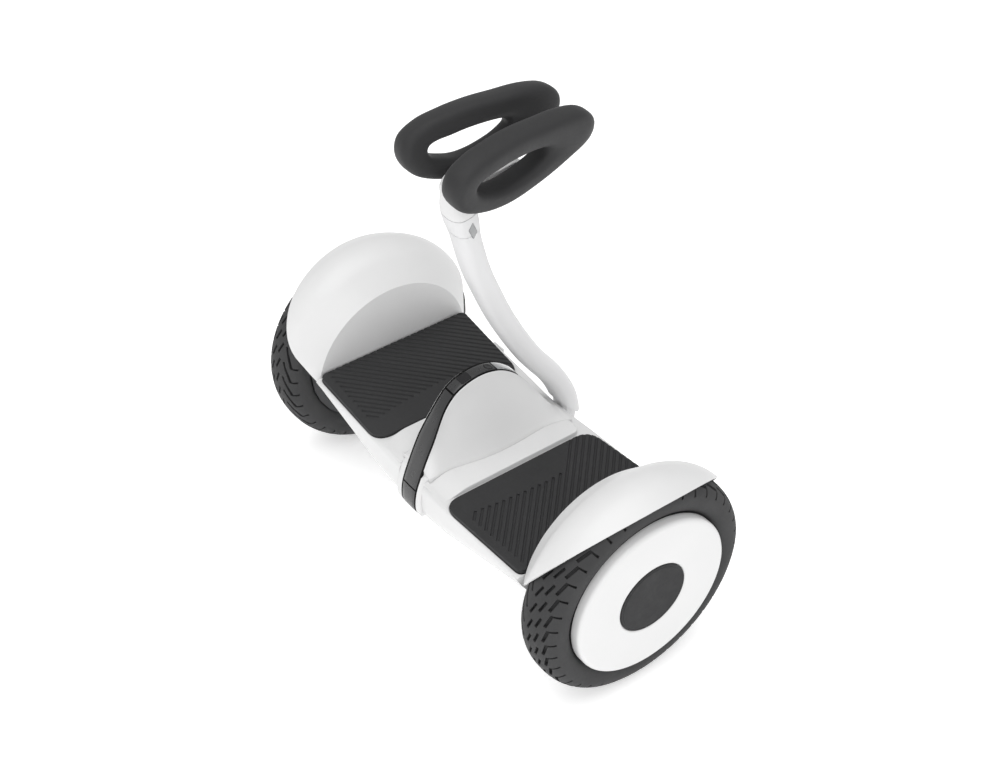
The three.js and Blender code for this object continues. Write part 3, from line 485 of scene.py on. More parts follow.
def oval(half_width: float, half_depth: float, sides: int, squareness: float = 2.6) -> list[Flat]:
    """A rounded square outline, from an ellipse at squareness 2 upwards.

    Args:
        half_width: half its width.
        half_depth: half its depth.
        sides: how many points it has.
        squareness: the power of its curve.

    Returns:
        The outline's points.
    """
    made = []
    for i in range(sides):
        turn = FULL_TURN * i / sides
        bend = [math.copysign(abs(v) ** (2 / squareness), v) for v in (math.cos(turn), math.sin(turn))]
        made.append((half_width * bend[0], half_depth * bend[1]))
    return made


def smoothstep(value: float, low: float, high: float) -> float:
    """0 below low, 1 above high, and a soft step between."""
    share = min(max((value - low) / (high - low), 0), 1)
    return share * share * (3 - 2 * share)


class Bench:
    """Modelling steps with Blender's own operators, in millimetres."""

    @staticmethod
    def pick(*objs: bpy.types.Object) -> None:
        """Selects these objects alone and makes the first active.

        Args:
            objs: what is selected.
        """
        bpy.ops.object.select_all(action="DESELECT")
        for obj in objs:
            obj.select_set(True)
        bpy.context.view_layer.objects.active = objs[0]

    @classmethod
    def outline(
        cls, name: str, points: Sequence[Sequence[float]], filled: bool = False
    ) -> bpy.types.Object:
        """A circle whose corners are moved to an outline.

        Args:
            name: of the new object.
            points: the corners in space.
            filled: whether a face closes it.

        Returns:
            The object, with a loop of edges.
        """
        bpy.ops.object.select_all(action="DESELECT")
        fill = "NGON" if filled else "NOTHING"
        bpy.ops.mesh.primitive_circle_add(vertices=len(points), radius=MM, fill_type=fill)
        obj = bpy.context.object
        obj.name = name
        for vertex, point in zip(obj.data.vertices, points, strict=True):
            vertex.co = Vector(point) * MM
        return obj

    @classmethod
    def edit(cls, obj: bpy.types.Object, select: str = "SELECT") -> None:
        """Starts shaping an object, with all of it selected or none.

        Args:
            obj: what is shaped.
            select: SELECT or DESELECT.
        """
        cls.pick(obj)
        bpy.ops.object.mode_set(mode="EDIT")
        bpy.ops.mesh.select_mode(type="VERT")
        bpy.ops.mesh.select_all(action=select)

    @staticmethod
    def close(merge: bool = True) -> None:
        """Merges doubles, turns the faces outwards and ends shaping.

        Args:
            merge: whether doubles are merged.
        """
        bpy.ops.mesh.select_all(action="SELECT")
        if merge:
            bpy.ops.mesh.remove_doubles(threshold=MERGE_REACH)
        bpy.ops.mesh.delete_loose(use_verts=True, use_edges=True, use_faces=False)
        bpy.ops.mesh.select_all(action="SELECT")
        bpy.ops.mesh.normals_make_consistent(inside=False)
        bpy.ops.object.mode_set(mode="OBJECT")

    @classmethod
    def loft(cls, name: str, sections: Sequence[Sequence[Point]], looped: bool = False) -> bpy.types.Object:
        """A skin drawn out from section to section.

        Args:
            name: of the new object.
            sections: loops of equally many points.
            looped: whether the last section joins the first; otherwise both ends are filled.

        Returns:
            The closed body.
        """
        obj = cls.outline(name, sections[0], filled=not looped)
        cls.edit(obj)
        rest = list(sections[1:]) + ([sections[0]] if looped else [])
        mesh = bmesh.from_edit_mesh(obj.data)
        ring = [v.index for v in mesh.verts]
        for section in rest:
            bpy.ops.mesh.extrude_region_move(TRANSFORM_OT_translate={"value": (0, 0, MM)})
            mesh = bmesh.from_edit_mesh(obj.data)
            mesh.verts.ensure_lookup_table()
            fresh = []
            for index, point in zip(ring, section, strict=True):
                near = next(e.other_vert(mesh.verts[index]) for e in mesh.verts[index].link_edges
                            if e.other_vert(mesh.verts[index]).select)
                near.co = Vector(point) * MM
                fresh.append(near)
            mesh.verts.index_update()
            ring = [v.index for v in fresh]
            bmesh.update_edit_mesh(obj.data)
        cls.close()
        return obj

    @classmethod
    def turned(
        cls, name: str, outline: Sequence[Flat], steps: int, centre: Point = (0, 0, 0)
    ) -> bpy.types.Object:
        """An outline spun about an axis along X.

        Args:
            name: of the new object.
            outline: closed outline of (along, radius) points.
            steps: of the spin.
            centre: a point on the axis.

        Returns:
            The turned body.
        """
        points = [(centre[0] + a, centre[1], centre[2] + r) for a, r in outline]
        obj = cls.outline(name, points)
        cls.edit(obj)
        middle = tuple(c * MM for c in centre)
        bpy.ops.mesh.spin(steps=steps, angle=FULL_TURN, center=middle, axis=(1, 0, 0))
        cls.close()
        return obj

    @classmethod
    def prism(cls, name: str, corners: Sequence[Point], reach: Point) -> bpy.types.Object:
        """A flat outline drawn out along a line.

        Args:
            name: of the new object.
            corners: the outline in space.
            reach: how far and where it is drawn.

        Returns:
            The closed body.
        """
        obj = cls.outline(name, corners, filled=True)
        cls.edit(obj)
        move = {"value": tuple(c * MM for c in reach)}
        bpy.ops.mesh.extrude_region_move(TRANSFORM_OT_translate=move)
        cls.close()
        return obj

    @classmethod
    def box(cls, name: str, low: Point, high: Point) -> bpy.types.Object:
        """A block between two corners, for cutting.

        Args:
            name: of the new object.
            low: its lowest corner.
            high: its highest corner.

        Returns:
            The closed block.
        """
        corners = [(low[0], low[1], low[2]), (high[0], low[1], low[2]), (high[0], high[1], low[2]),
                   (low[0], high[1], low[2])]
        return cls.prism(name, corners, (0, 0, high[2] - low[2]))

    @classmethod
    def apply(cls, obj: bpy.types.Object, kind: str, **settings: object) -> bpy.types.Object:
        """Adds a modifier and applies it.

        Args:
            obj: what it works on.
            kind: the modifier's type.
            settings: its values by name.

        Returns:
            The object.
        """
        cls.pick(obj)
        made = obj.modifiers.new(kind.title(), kind)
        for name, value in settings.items():
            setattr(made, name, value)
        bpy.ops.object.modifier_apply(modifier=made.name)
        return obj

    @classmethod
    def boolean(cls, obj: bpy.types.Object, operation: str, *others: bpy.types.Object) -> bpy.types.Object:
        """Cuts, joins or trims an object with others, which are then deleted.

        Args:
            obj: what is changed.
            operation: DIFFERENCE, UNION or INTERSECT.
            others: what it is changed with.

        Returns:
            The changed object.
        """
        for other in others:
            cls.apply(obj, "BOOLEAN", operation=operation, object=other, solver="EXACT")
            bpy.data.objects.remove(other)
        return obj

    @classmethod
    def bevel(
        cls, obj: bpy.types.Object, width: float, segments: int = 3, angle: float = 40
    ) -> bpy.types.Object:
        """Rounds every edge sharper than an angle in degrees.

        Args:
            obj: what is rounded.
            width: of the round.
            segments: pieces in it.
            angle: above which an edge is rounded.

        Returns:
            The object.
        """
        return cls.apply(
            obj, "BEVEL", width=width * MM, segments=segments, limit_method="ANGLE",
            angle_limit=math.radians(angle), harden_normals=False,
        )

    @classmethod
    def copy(cls, obj: bpy.types.Object, name: str) -> bpy.types.Object:
        """A copy with a mesh of its own.

        Args:
            obj: what is copied.
            name: of the copy.

        Returns:
            The copy.
        """
        made = obj.copy()
        made.data = obj.data.copy()
        made.name = name
        bpy.context.scene.collection.objects.link(made)
        return made

    @classmethod
    def mirrored(cls, obj: bpy.types.Object, name: str) -> bpy.types.Object:
        """A copy on the other side of the middle plane, its faces outwards.

        Args:
            obj: what is copied.
            name: of the copy.

        Returns:
            The copy.
        """
        made = cls.copy(obj, name)
        made.data.transform(Matrix.Diagonal((-1, 1, 1, 1)))
        made.data.flip_normals()
        return made

    @classmethod
    def smooth(cls, obj: bpy.types.Object, angle: float = 35) -> bpy.types.Object:
        """Smooth shading, with edges sharper than an angle in degrees kept.

        Args:
            obj: what is shaded.
            angle: above which an edge stays sharp.

        Returns:
            The object.
        """
        cls.pick(obj)
        bpy.ops.object.shade_smooth_by_angle(angle=math.radians(angle))
        return obj


@dataclass
class Assembly:
    """A sub-assembly: it hands finished pieces to the frame and dresses carried nodes."""

    def add(
        self, obj: bpy.types.Object, body: str, slot: Slot, finish: Finish, replaced: Sequence[str],
        angle: float = 35,
    ) -> bpy.types.Object:
        """Finishes a new piece.

        Args:
            obj: the modelled piece, in place.
            body: the CAD body that it rides on.
            slot: the record's slot for the piece; not used.
            finish: its material.
            replaced: CAD nodes that it stands for.
            angle: above which an edge stays sharp, in degrees.

        Returns:
            The piece.
        """
        Bench.smooth(obj, angle)
        obj.data.materials.clear()
        obj.data.materials.append(finish.material())
        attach(obj, body)
        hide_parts(*replaced)
        LOG.info("made %s on %s, %d faces", obj.name, body, len(obj.data.polygons))
        return obj

    def dress(self, names: Sequence[str], finish: Finish) -> None:
        """Gives carried CAD nodes their finish.

        Args:
            names: of the carried nodes.
            finish: their material.
        """
        for name in names:
            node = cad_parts[name]
            for slot in node.material_slots:
                slot.material = finish.material()
            LOG.info("dressed %s", name)


@dataclass
class Wheel(Assembly):
    """A hub motor wheel: tyre, disc and cap are new, and the rest is carried.

    The tread repeats a few slits, each with its share of a pitch; slit paths and the tyre's section are
    shares of its half width, with millimetres round and shares of its height.
    """

    side: Side = Side.RIGHT
    half_track: float = 243.9
    radius: float = 131.0
    half_width: float = 27.5
    bead: float = 96.9
    steps: int = 144
    pitches: int = 40
    slit_width: float = 3.2
    slit_depth: float = 4.0
    disc_radius: float = 96.4
    disc_face: float = 34.6
    cap_radius: float = 42.4
    plate: float = 1.8
    shoulders: tuple[Flat, ...] = (
        (0.72, 0.0), (0.8, 0.05), (0.93, 0.17), (0.985, 0.32), (1.0, 0.46), (0.985, 0.59), (0.935, 0.7),
        (0.84, 0.81), (0.7, 0.888), (0.53, 0.945), (0.36, 0.98), (0.18, 0.995),
    )
    inside: tuple[Flat, ...] = (
        (0.5, 0.0), (0.66, 0.2), (0.7, 0.34), (0.62, 0.58), (0.46, 0.74), (0.2, 0.78),
    )
    tread: tuple[tuple[tuple[Flat, ...], float], ...] = (
        (((0.97, 0.0), (0.74, 0.5), (0.6, 17.0)), 0.0),
        (((0.4, 0.0), (0.22, 15.0)), 0.45),
        (((0.02, 0.0), (-0.18, 15.0)), 0.9),
        (((-0.97, 0.0), (-0.8, 0.5), (-0.42, 26.0)), 0.3),
    )

    def at(self, share: float, height: float) -> Flat:
        """A point of the tyre's section from shares of its half width and height."""
        return (share * self.half_width, self.bead + height * (self.radius - self.bead))

    def surface(self, share: float) -> float:
        """The tyre's outer radius at a share of its half width.

        Args:
            share: of the half width, to either side.

        Returns:
            The radius in millimetres.
        """
        line = [(0.0, 1.0), *reversed(self.shoulders[3:])]
        height = np.interp(abs(share), [p[0] for p in line[:-1]], [p[1] for p in line[:-1]])
        return self.bead + float(height) * (self.radius - self.bead)

    def slit(self, name: str, path: Sequence[Flat], turn: float) -> bpy.types.Object:
        """A cutter for one slit in the tread.

        Args:
            name: of the cutter.
            path: (share across, millimetres round) points of its middle line.
            turn: where it is round the wheel.

        Returns:
            The cutter, standing in the tread.
        """
        half = self.slit_width / 2
        flat = [Vector((share * self.half_width, round_)) for share, round_ in path]
        left, right = [], []
        for i, point in enumerate(flat):
            along = (flat[min(i + 1, len(flat) - 1)] - flat[max(i - 1, 0)]).normalized()
            side = Vector((-along.y, along.x)) * half
            left.append(point + side)
            right.append(point - side)
        low, high = [], []
        for point in left + right[::-1]:
            share = max(-0.985, min(0.985, point.x / self.half_width))
            lie = math.atan2(self.surface(share) - self.surface(share - 0.02), 0.02 * self.half_width)
            radius = self.surface(share)
            for rise, row in ((-self.slit_depth, low), (2.0, high)):
                across = point.x - math.sin(lie) * rise
                out = radius + math.cos(lie) * rise
                angle = turn + point.y / self.radius
                row.append((across, -out * math.sin(angle), out * math.cos(angle)))
        return Bench.loft(name, [low, high])

    def tyre(self) -> bpy.types.Object:
        """The tyre, spun from its section, with its tread slits cut in.

        Returns:
            The tyre about its own axle.
        """
        outer = [self.at(*p) for p in self.shoulders]
        crown = [self.at(0, 1)]
        back = [(-a, r) for a, r in reversed(outer)]
        hollow = [(-self.at(*p)[0], self.at(*p)[1]) for p in self.inside]
        hollow += [self.at(*p) for p in reversed(self.inside)]
        tyre = Bench.turned(f"tread_tyre_{self.side.label}", [*outer, *crown, *back, *hollow], self.steps)
        cutters = [
            self.slit("slit", path, FULL_TURN * (i + share) / self.pitches)
            for i in range(self.pitches) for path, share in self.tread
        ]
        Bench.pick(*cutters)
        bpy.ops.object.join()
        return Bench.boolean(tyre, "DIFFERENCE", cutters[0])

    def disc(self) -> bpy.types.Object:
        """The white disc over the motor, with a round seat for the cap.

        Returns:
            The disc about its own axle.
        """
        face, edge, seat = self.disc_face, self.disc_radius, self.cap_radius + GAP
        floor = face - self.plate
        outline = [
            (22.3, edge - 3), (22.3, edge), (29.5, edge), (31.6, edge - 0.4), (33.2, edge - 1.5),
            (34.2, edge - 3.2), (face, edge - 5.3),
            (face, seat + 2.6), (face - 0.15, seat + 1.2), (face - 0.7, seat + 0.3), (face - 1.2, seat),
            (floor, seat), (floor, 0), (face - 4.4, 0), (face - 4.4, seat + 2.6),
            (face - 2.6, seat + 2.6), (face - 2.6, 91), (face - 4, 93.2),
        ]
        return Bench.turned(f"wheel_disc_{self.side.label}", outline, self.steps)

    def cap(self) -> bpy.types.Object:
        """The dark cap, very slightly crowned.

        Returns:
            The cap about its own axle.
        """
        face, edge = self.disc_face + 0.3, self.cap_radius
        back = face - self.plate
        outline = [
            (back, 0), (back, edge), (face - 0.9, edge), (face - 0.4, 42.15), (face - 0.1, 41.5),
            (face - 0.02, 40.4), (face - 0.3, 39.9), (face - 0.3, 39.3), (face, 38.8), (face, 0),
        ]
        return Bench.turned(f"wheel_cap_{self.side.label}", outline, self.steps)

    def place(self, obj: bpy.types.Object) -> bpy.types.Object:
        """Moves a piece that was made about its own axle to the wheel's place.

        Args:
            obj: the piece.

        Returns:
            The piece in its place.
        """
        turn = Matrix.Rotation(0 if self.side is Side.RIGHT else math.pi, 4, "Z")
        middle = Vector((self.side.value * self.half_track, 0, self.radius)) * MM
        obj.data.transform(Matrix.Translation(middle) @ turn)
        return obj

    def build(self) -> None:
        """Makes the three new pieces and dresses the carried nodes."""
        side = self.side.label
        body = f"wheel_{side}"
        self.add(self.place(self.tyre()), body, Slot.TYRE, TYRE_RUBBER, [f"tyre_{side}"], 30)
        self.add(self.place(self.disc()), body, Slot.WHITE, WHITE, [f"hub_disc_{side}"], 30)
        self.add(self.place(self.cap()), body, Slot.DARK, CAP_PLASTIC, [f"hub_cap_{side}"], 30)
        # Rim, motor cover and stator are near black as painted shade for the inside of the wheel.
        self.dress([f"rim_{side}", f"motor_cover_{side}", f"stator_{side}"], SHADE_DARK_CAST)
        self.dress([f"axle_shaft_{side}", f"outer_bearing_{side}", f"inner_bearing_{side}"], STEEL)


@dataclass
class Fender(Assembly):
    """A domed guard over a wheel, cut by a slanted plane along its lip."""

    half_track: float = 243.9
    axle_height: float = 131.0
    crown: float = 136.7
    reach: float = 51.7
    ahead: float = 0.5
    foot: float = 14.0
    lip_foot: float = -57.2
    lip_slope: float = 0.71
    wall: float = 2.0
    steps: int = 144
    dome_steps: int = 36
    wall_shares: tuple[Flat, ...] = ((-1, 0), (-0.995, 0.3), (-0.99, 0.55), (-0.976, 0.66))
    dome_shares: tuple[Flat, ...] = (
        (-0.962, 0.752), (-0.88, 0.781), (-0.65, 0.865), (-0.462, 0.937), (-0.25, 0.983), (0, 1),
        (0.28, 0.984), (0.72, 0.904),
    )

    def shell(self) -> bpy.types.Object:
        """The right fender: a spun dome, trimmed by two planes, given its wall and rounded lip.

        Returns:
            The finished shell.
        """
        centre = (self.half_track, self.ahead, self.axle_height)
        dome = Line([(a * self.reach, r * self.crown) for a, r in self.dome_shares])
        points = [(a * self.reach, r * self.crown) for a, r in self.wall_shares]
        points += [dome.at(k / self.dome_steps) for k in range(self.dome_steps + 1)]
        obj = Bench.outline("guard_right", [(centre[0] + a, centre[1], centre[2] + r) for a, r in points])
        Bench.edit(obj, "DESELECT")
        mesh = bmesh.from_edit_mesh(obj.data)
        mesh.verts.ensure_lookup_table()
        ends = {mesh.verts[0], mesh.verts[len(points) - 1]}
        for edge in mesh.edges:
            edge.select_set(set(edge.verts) == ends)
        bmesh.update_edit_mesh(obj.data)
        bpy.ops.mesh.delete(type="EDGE")
        bpy.ops.mesh.select_all(action="SELECT")
        bpy.ops.mesh.spin(steps=self.steps, angle=FULL_TURN, center=Vector(centre) * MM, axis=(1, 0, 0))
        bpy.ops.mesh.select_all(action="SELECT")
        bpy.ops.mesh.remove_doubles(threshold=MERGE_REACH)
        low = Vector((centre[0], centre[1], centre[2] + self.foot)) * MM
        bpy.ops.mesh.bisect(plane_co=low, plane_no=(0, 0, -1), clear_outer=True)
        bpy.ops.mesh.select_all(action="SELECT")
        lip = Vector((centre[0] + self.lip_foot, centre[1], centre[2])) * MM
        out = Vector((1, 0, -self.lip_slope)).normalized()
        bpy.ops.mesh.bisect(plane_co=lip, plane_no=out, clear_outer=True)
        Bench.close()
        Bench.apply(obj, "SOLIDIFY", thickness=self.wall * MM, offset=-1, use_even_offset=True)
        return Bench.bevel(obj, 0.6, 3, 50)

    def build(self) -> None:
        """Makes both fenders, the left one as the right one's mirror image."""
        right = self.shell()
        left = Bench.mirrored(right, "guard_left")
        for side, obj in ((Side.RIGHT, right), (Side.LEFT, left)):
            self.add(obj, "chassis", Slot.WHITE, WHITE, [f"fender_{side.label}"], 24)


@dataclass
class Ridge(Assembly):
    """The ridge between the feet: its white cover, and the dark strip along its crest."""

    rim: float = 159.0
    seat: float = 148.3
    wall: float = 2.6
    edge: float = 1.6
    low_half: float = 12.4
    high_half: float = 8.0
    proud: float = 0.6
    thickness: float = 3.4
    sunk: float = 0.6
    crown: float = 0.25
    # How far the near-black painted-shade band reaches past the strip on each side; the channel is cut to fit
    # it.
    shade_band: float = 0.9
    inset: float = 0.9
    nose_half: float = 21.5
    nose_heights: Flat = (101.5, 157.0)
    nose_front: float = -98.0
    crest: tuple[Flat, ...] = (
        (-107.3, 102.8), (-110.7, 109), (-111.3, 121), (-109, 136), (-103, 153), (-92.5, 178), (-80.5, 202),
        (-67.3, 226), (-54.1, 242), (-40, 249.7), (-24, 253.3), (-8, 252.4), (8, 247), (22, 237.5),
        (34, 225), (50, 203), (66, 178), (82, 158), (86, 152),
    )
    widths: tuple[Flat, ...] = (
        (-99.2, 26), (-94, 25.5), (-80, 25.5), (-65, 27), (-50, 30), (-30, 33.5), (-8, 35), (14, 34.5),
        (34, 33), (52, 32), (70, 34), (83, 40),
    )
    seams: tuple[float, ...] = (0.1, 0.45, 0.625, 0.725)
    seam_half: float = 0.003
    narrowing: Flat = (186, 236)
    stations: int = 46
    button_share: float = 0.603

    def __post_init__(self) -> None:
        """Samples the crest and the widths once."""
        self.line = Line(self.crest)
        self.width_line = Line(self.widths)

    def strip_half(self, height: float) -> float:
        """Half the strip's width at a height."""
        return self.low_half - (self.low_half - self.high_half) * smoothstep(height, *self.narrowing)

    def form(self, name: str, grow: float, foot: float) -> bpy.types.Object:
        """The ridge's outer form, grown by a distance, down to a foot.

        Args:
            name: of the new object.
            grow: how much larger it is all round.
            foot: the height of its foot.

        Returns:
            The closed body.
        """
        first, last = self.widths[0][0], self.widths[-1][0]
        if grow < -1:
            last = 76.0
        sections = []
        count = self.stations
        for i in range(count + 1):
            y = first + (last - first) * i / count
            crest = max(self.line.height(y), self.rim + 1.2) + grow
            crest_half = self.strip_half(crest) + self.edge + grow
            rim = self.width_line.height(y) + grow
            rise = crest - self.rim
            half = [(rim, foot), (rim, self.rim - 0.6)]
            for k in range(17):
                t = 0.995 * k / 16
                half.append((crest_half + (rim - crest_half) * (1 - t) ** 1.6, self.rim + rise * t))
            half.append((crest_half - 0.5, crest))
            end = -grow if i == 0 else grow if i == count else 0
            section = half + [(-x, z) for x, z in reversed(half)]
            sections.append([(x, y + end, z) for x, z in section])
        return Bench.loft(name, sections)

    def nose_block(self, name: str, grow: float) -> bpy.types.Object:
        """The nose's outline from behind, grown by a distance and drawn forwards through the rear wall.

        Args:
            name: of the new object.
            grow: how much larger it is all round.

        Returns:
            The closed body.
        """
        foot, top = self.nose_heights[0] - grow, self.nose_heights[1] + grow
        wide = self.nose_half + grow
        low = (0.88 * self.nose_half + grow, foot)
        half = [low, (wide, foot + 4.4), (wide, top)]
        corners = half + [(-x, z) for x, z in reversed(half)]
        rear = min(y for y, _ in self.crest) - 5
        outline = rounded(corners, [1.5, 3, 0.01, 0.01, 3, 1.5], 3)
        return Bench.prism(name, [(x, rear, z) for x, z in outline], (0, self.nose_front + grow - rear, 0))

    def nose(self) -> bpy.types.Object:
        """The nose under the strip's foot: the crest's first stretch across its whole width.

        Returns:
            The nose with rounded edges.
        """
        foot, top = self.nose_heights
        rear = [tuple(point) for point in self.line.samples[:134:7]]
        corners = [(self.nose_front, foot), (rear[0][0], foot), *rear, (self.nose_front, top)]
        nose = Bench.prism("nose", [(-30, y, z) for y, z in corners], (60, 0, 0))
        Bench.boolean(nose, "INTERSECT", self.nose_block("nose_sides", 0))
        return Bench.bevel(nose, 0.9, 3, 50)

    def drawn(
        self, name: str, low: float, high: float, count: int, outline: Callable[[int, float], list[Flat]]
    ) -> bpy.types.Object:
        """A body drawn along the crest.

        Args:
            name: of the new object.
            low: share of the crest where it starts.
            high: share where it ends.
            count: pieces in its length.
            outline: gives the corners, across and over the crest, for a step and the height there.

        Returns:
            The closed body.
        """
        sections = []
        for i in range(count + 1):
            share = low + (high - low) * i / count
            y, z = self.line.at(share)
            along = self.line.along(share)
            sections.append([(x, y - along.y * h, z + along.x * h) for x, h in outline(i, z)])
        return Bench.loft(name, sections)

    def band(
        self, name: str, low: float, high: float, side: float, top: float, foot: float
    ) -> bpy.types.Object:
        """A plain stretch along the crest.

        Args:
            name: of the new object.
            low: share of the crest where it starts.
            high: share where it ends.
            side: how much wider than the strip it is on each side.
            top: its height over the crest.
            foot: its foot's height over the crest.

        Returns:
            The closed body.
        """

        def corners(_: int, z: float) -> list[Flat]:
            """The four corners at a height."""
            half = self.strip_half(z) + side
            return [(half, top), (-half, top), (-half, foot), (half, foot)]

        return self.drawn(name, low, high, max(8, round((high - low) * 110)), corners)

    def strip(self, name: str, low: float, high: float) -> bpy.types.Object:
        """A stretch of the strip between two shares of the crest, with rounded long edges.

        Args:
            name: of the new object.
            low: share of the crest where it starts.
            high: share where it ends.

        Returns:
            The closed piece.
        """
        top, crown, sunk = self.proud, self.crown, self.sunk

        def corners(_: int, z: float) -> list[Flat]:
            """The crowned section at a height.

            Args:
                z: the height.

            Returns:
                The corners, across and over the crest.
            """
            half = self.strip_half(z) - self.inset
            return [
                (half, top - 0.9), (half - 0.25, top - 0.35), (half - 0.8, top - 0.05),
                (half * 0.5, top + crown * 0.7), (0, top + crown), (-half * 0.5, top + crown * 0.7),
                (-half + 0.8, top - 0.05), (-half + 0.25, top - 0.35), (-half, top - 0.9),
                (-half, -sunk), (half, -sunk),
            ]

        return self.drawn(name, low, high, max(6, round((high - low) * 90)), corners)

    def cover(self) -> bpy.types.Object:
        """The white cover: outer form and nose, hollowed, with the strip's channel cut in.

        Returns:
            The cover.
        """
        cover = self.form("ridge_cover", 0, self.seat)
        Bench.boolean(cover, "UNION", self.nose())
        Bench.boolean(cover, "DIFFERENCE", self.form("hollow", -self.wall, self.seat - 5))
        channel = self.band("channel", 0, self.seams[-1], self.shade_band + GAP, 5, -self.thickness - GAP)
        return Bench.boolean(cover, "DIFFERENCE", channel)

    def patch(
        self, name: str, low: float, high: float, half: float, depth: float, rise: float
    ) -> bpy.types.Object:
        """A patch with round corners, let into the strip between two shares of the crest.

        Args:
            name: of the new object.
            low: share of the crest where it starts.
            high: share where it ends.
            half: half its width.
            depth: how far it reaches below the crest.
            rise: its top over the crest.

        Returns:
            The closed body.
        """
        count, corner = 12, 1.6

        def corners(i: int, _: float) -> list[Flat]:
            """The four corners at a step, drawn in near both ends.

            Args:
                i: the step.

            Returns:
                The corners, across and over the crest.
            """
            ends = min(i, count - i) / count * (high - low) * 250
            width = half - (corner - math.sqrt(max(0, corner**2 - max(0, corner - ends) ** 2)))
            return [(width, -depth), (width, rise), (-width, rise), (-width, -depth)]

        return self.drawn(name, low, high, count, corners)

    def button(self, name: str, radius: float, foot: float, top: float) -> bpy.types.Object:
        """A round button, or its hole, square to the crest, with a soft edge and a dished face.

        Args:
            name: of the new object.
            radius: of the button.
            foot: its foot's height over the crest.
            top: its top's height over the crest.

        Returns:
            The closed body in its place.
        """
        y, z = self.line.at(self.button_share)
        along = self.line.along(self.button_share)
        turn = Matrix.Rotation(math.atan2(along.y, along.x), 4, "X")
        outline = [
            (foot, 0), (foot, radius), (top - 0.5, radius), (top - 0.15, radius - 0.15),
            (top, radius - 0.5), (top, radius - 1.0), (top - 0.3, radius * 0.4), (top - 0.35, 0),
        ]
        obj = Bench.turned(name, outline, 48)
        up = Matrix.Rotation(-math.pi / 2, 4, "Y")
        obj.data.transform(Matrix.Translation(Vector((0, y, z)) * MM) @ turn @ up)
        return obj

    def build(self) -> None:
        """Makes the cover, the four lengths of the strip, the window and the button."""
        self.add(self.cover(), "chassis", Slot.WHITE, WHITE, ["hump_cover"], 32)
        lamp, rear, top, end = self.seams
        gap = self.seam_half
        stretches = (
            ("tail_lens", "tail_lamp_lens", 2 * gap, lamp - gap, Slot.BLACK, BLACK_GLOSS),
            ("strip_rear", "ridge_strip_rear", lamp + gap, rear - gap, Slot.BLACK, BLACK_GLOSS),
            ("strip_top", "ridge_strip_top", rear + gap, top - gap, Slot.BLACK, BLACK_GLOSS),
            ("front_lens", "front_lamp_lens", top + gap, end - 2 * gap, Slot.LENS, LENS),
        )
        for name, node, low, high, slot, finish in stretches:
            piece = self.strip(name, low, high)
            # Under each stretch lies a near-black band that shows in the seams and beside the strip: painted
            # shade in those gaps.
            shade_band = self.band("shade_band", low - gap * 0.9, high + gap * 0.9, self.shade_band, 0.3, -self.thickness)
            if name == "strip_top":
                window = self.patch("window_hole", 0.4915, 0.5305, 6.3, 1, 5)
                Bench.boolean(piece, "DIFFERENCE", window, self.button("button_hole", 5.1, -6, 6))
                Bench.boolean(shade_band, "DIFFERENCE", self.button("button_hole", 5.1, -6, 6))
            self.add(piece, "chassis", slot, finish, [node], 30)
            shade_band.data.materials.append(SHADE_BLACK.material())
            Bench.pick(piece, shade_band)
            bpy.ops.object.join()
        window = self.patch("dark_window", 0.492, 0.53, 6.0, -0.2, 0.75)
        self.add(window, "chassis", Slot.BLACK, WINDOW, ["display_window"], 30)
        button = self.button("power_key", 4.8, -1.9, 1.2)
        self.add(button, "power", Slot.LENS, WINDOW, ["power_button"], 30)


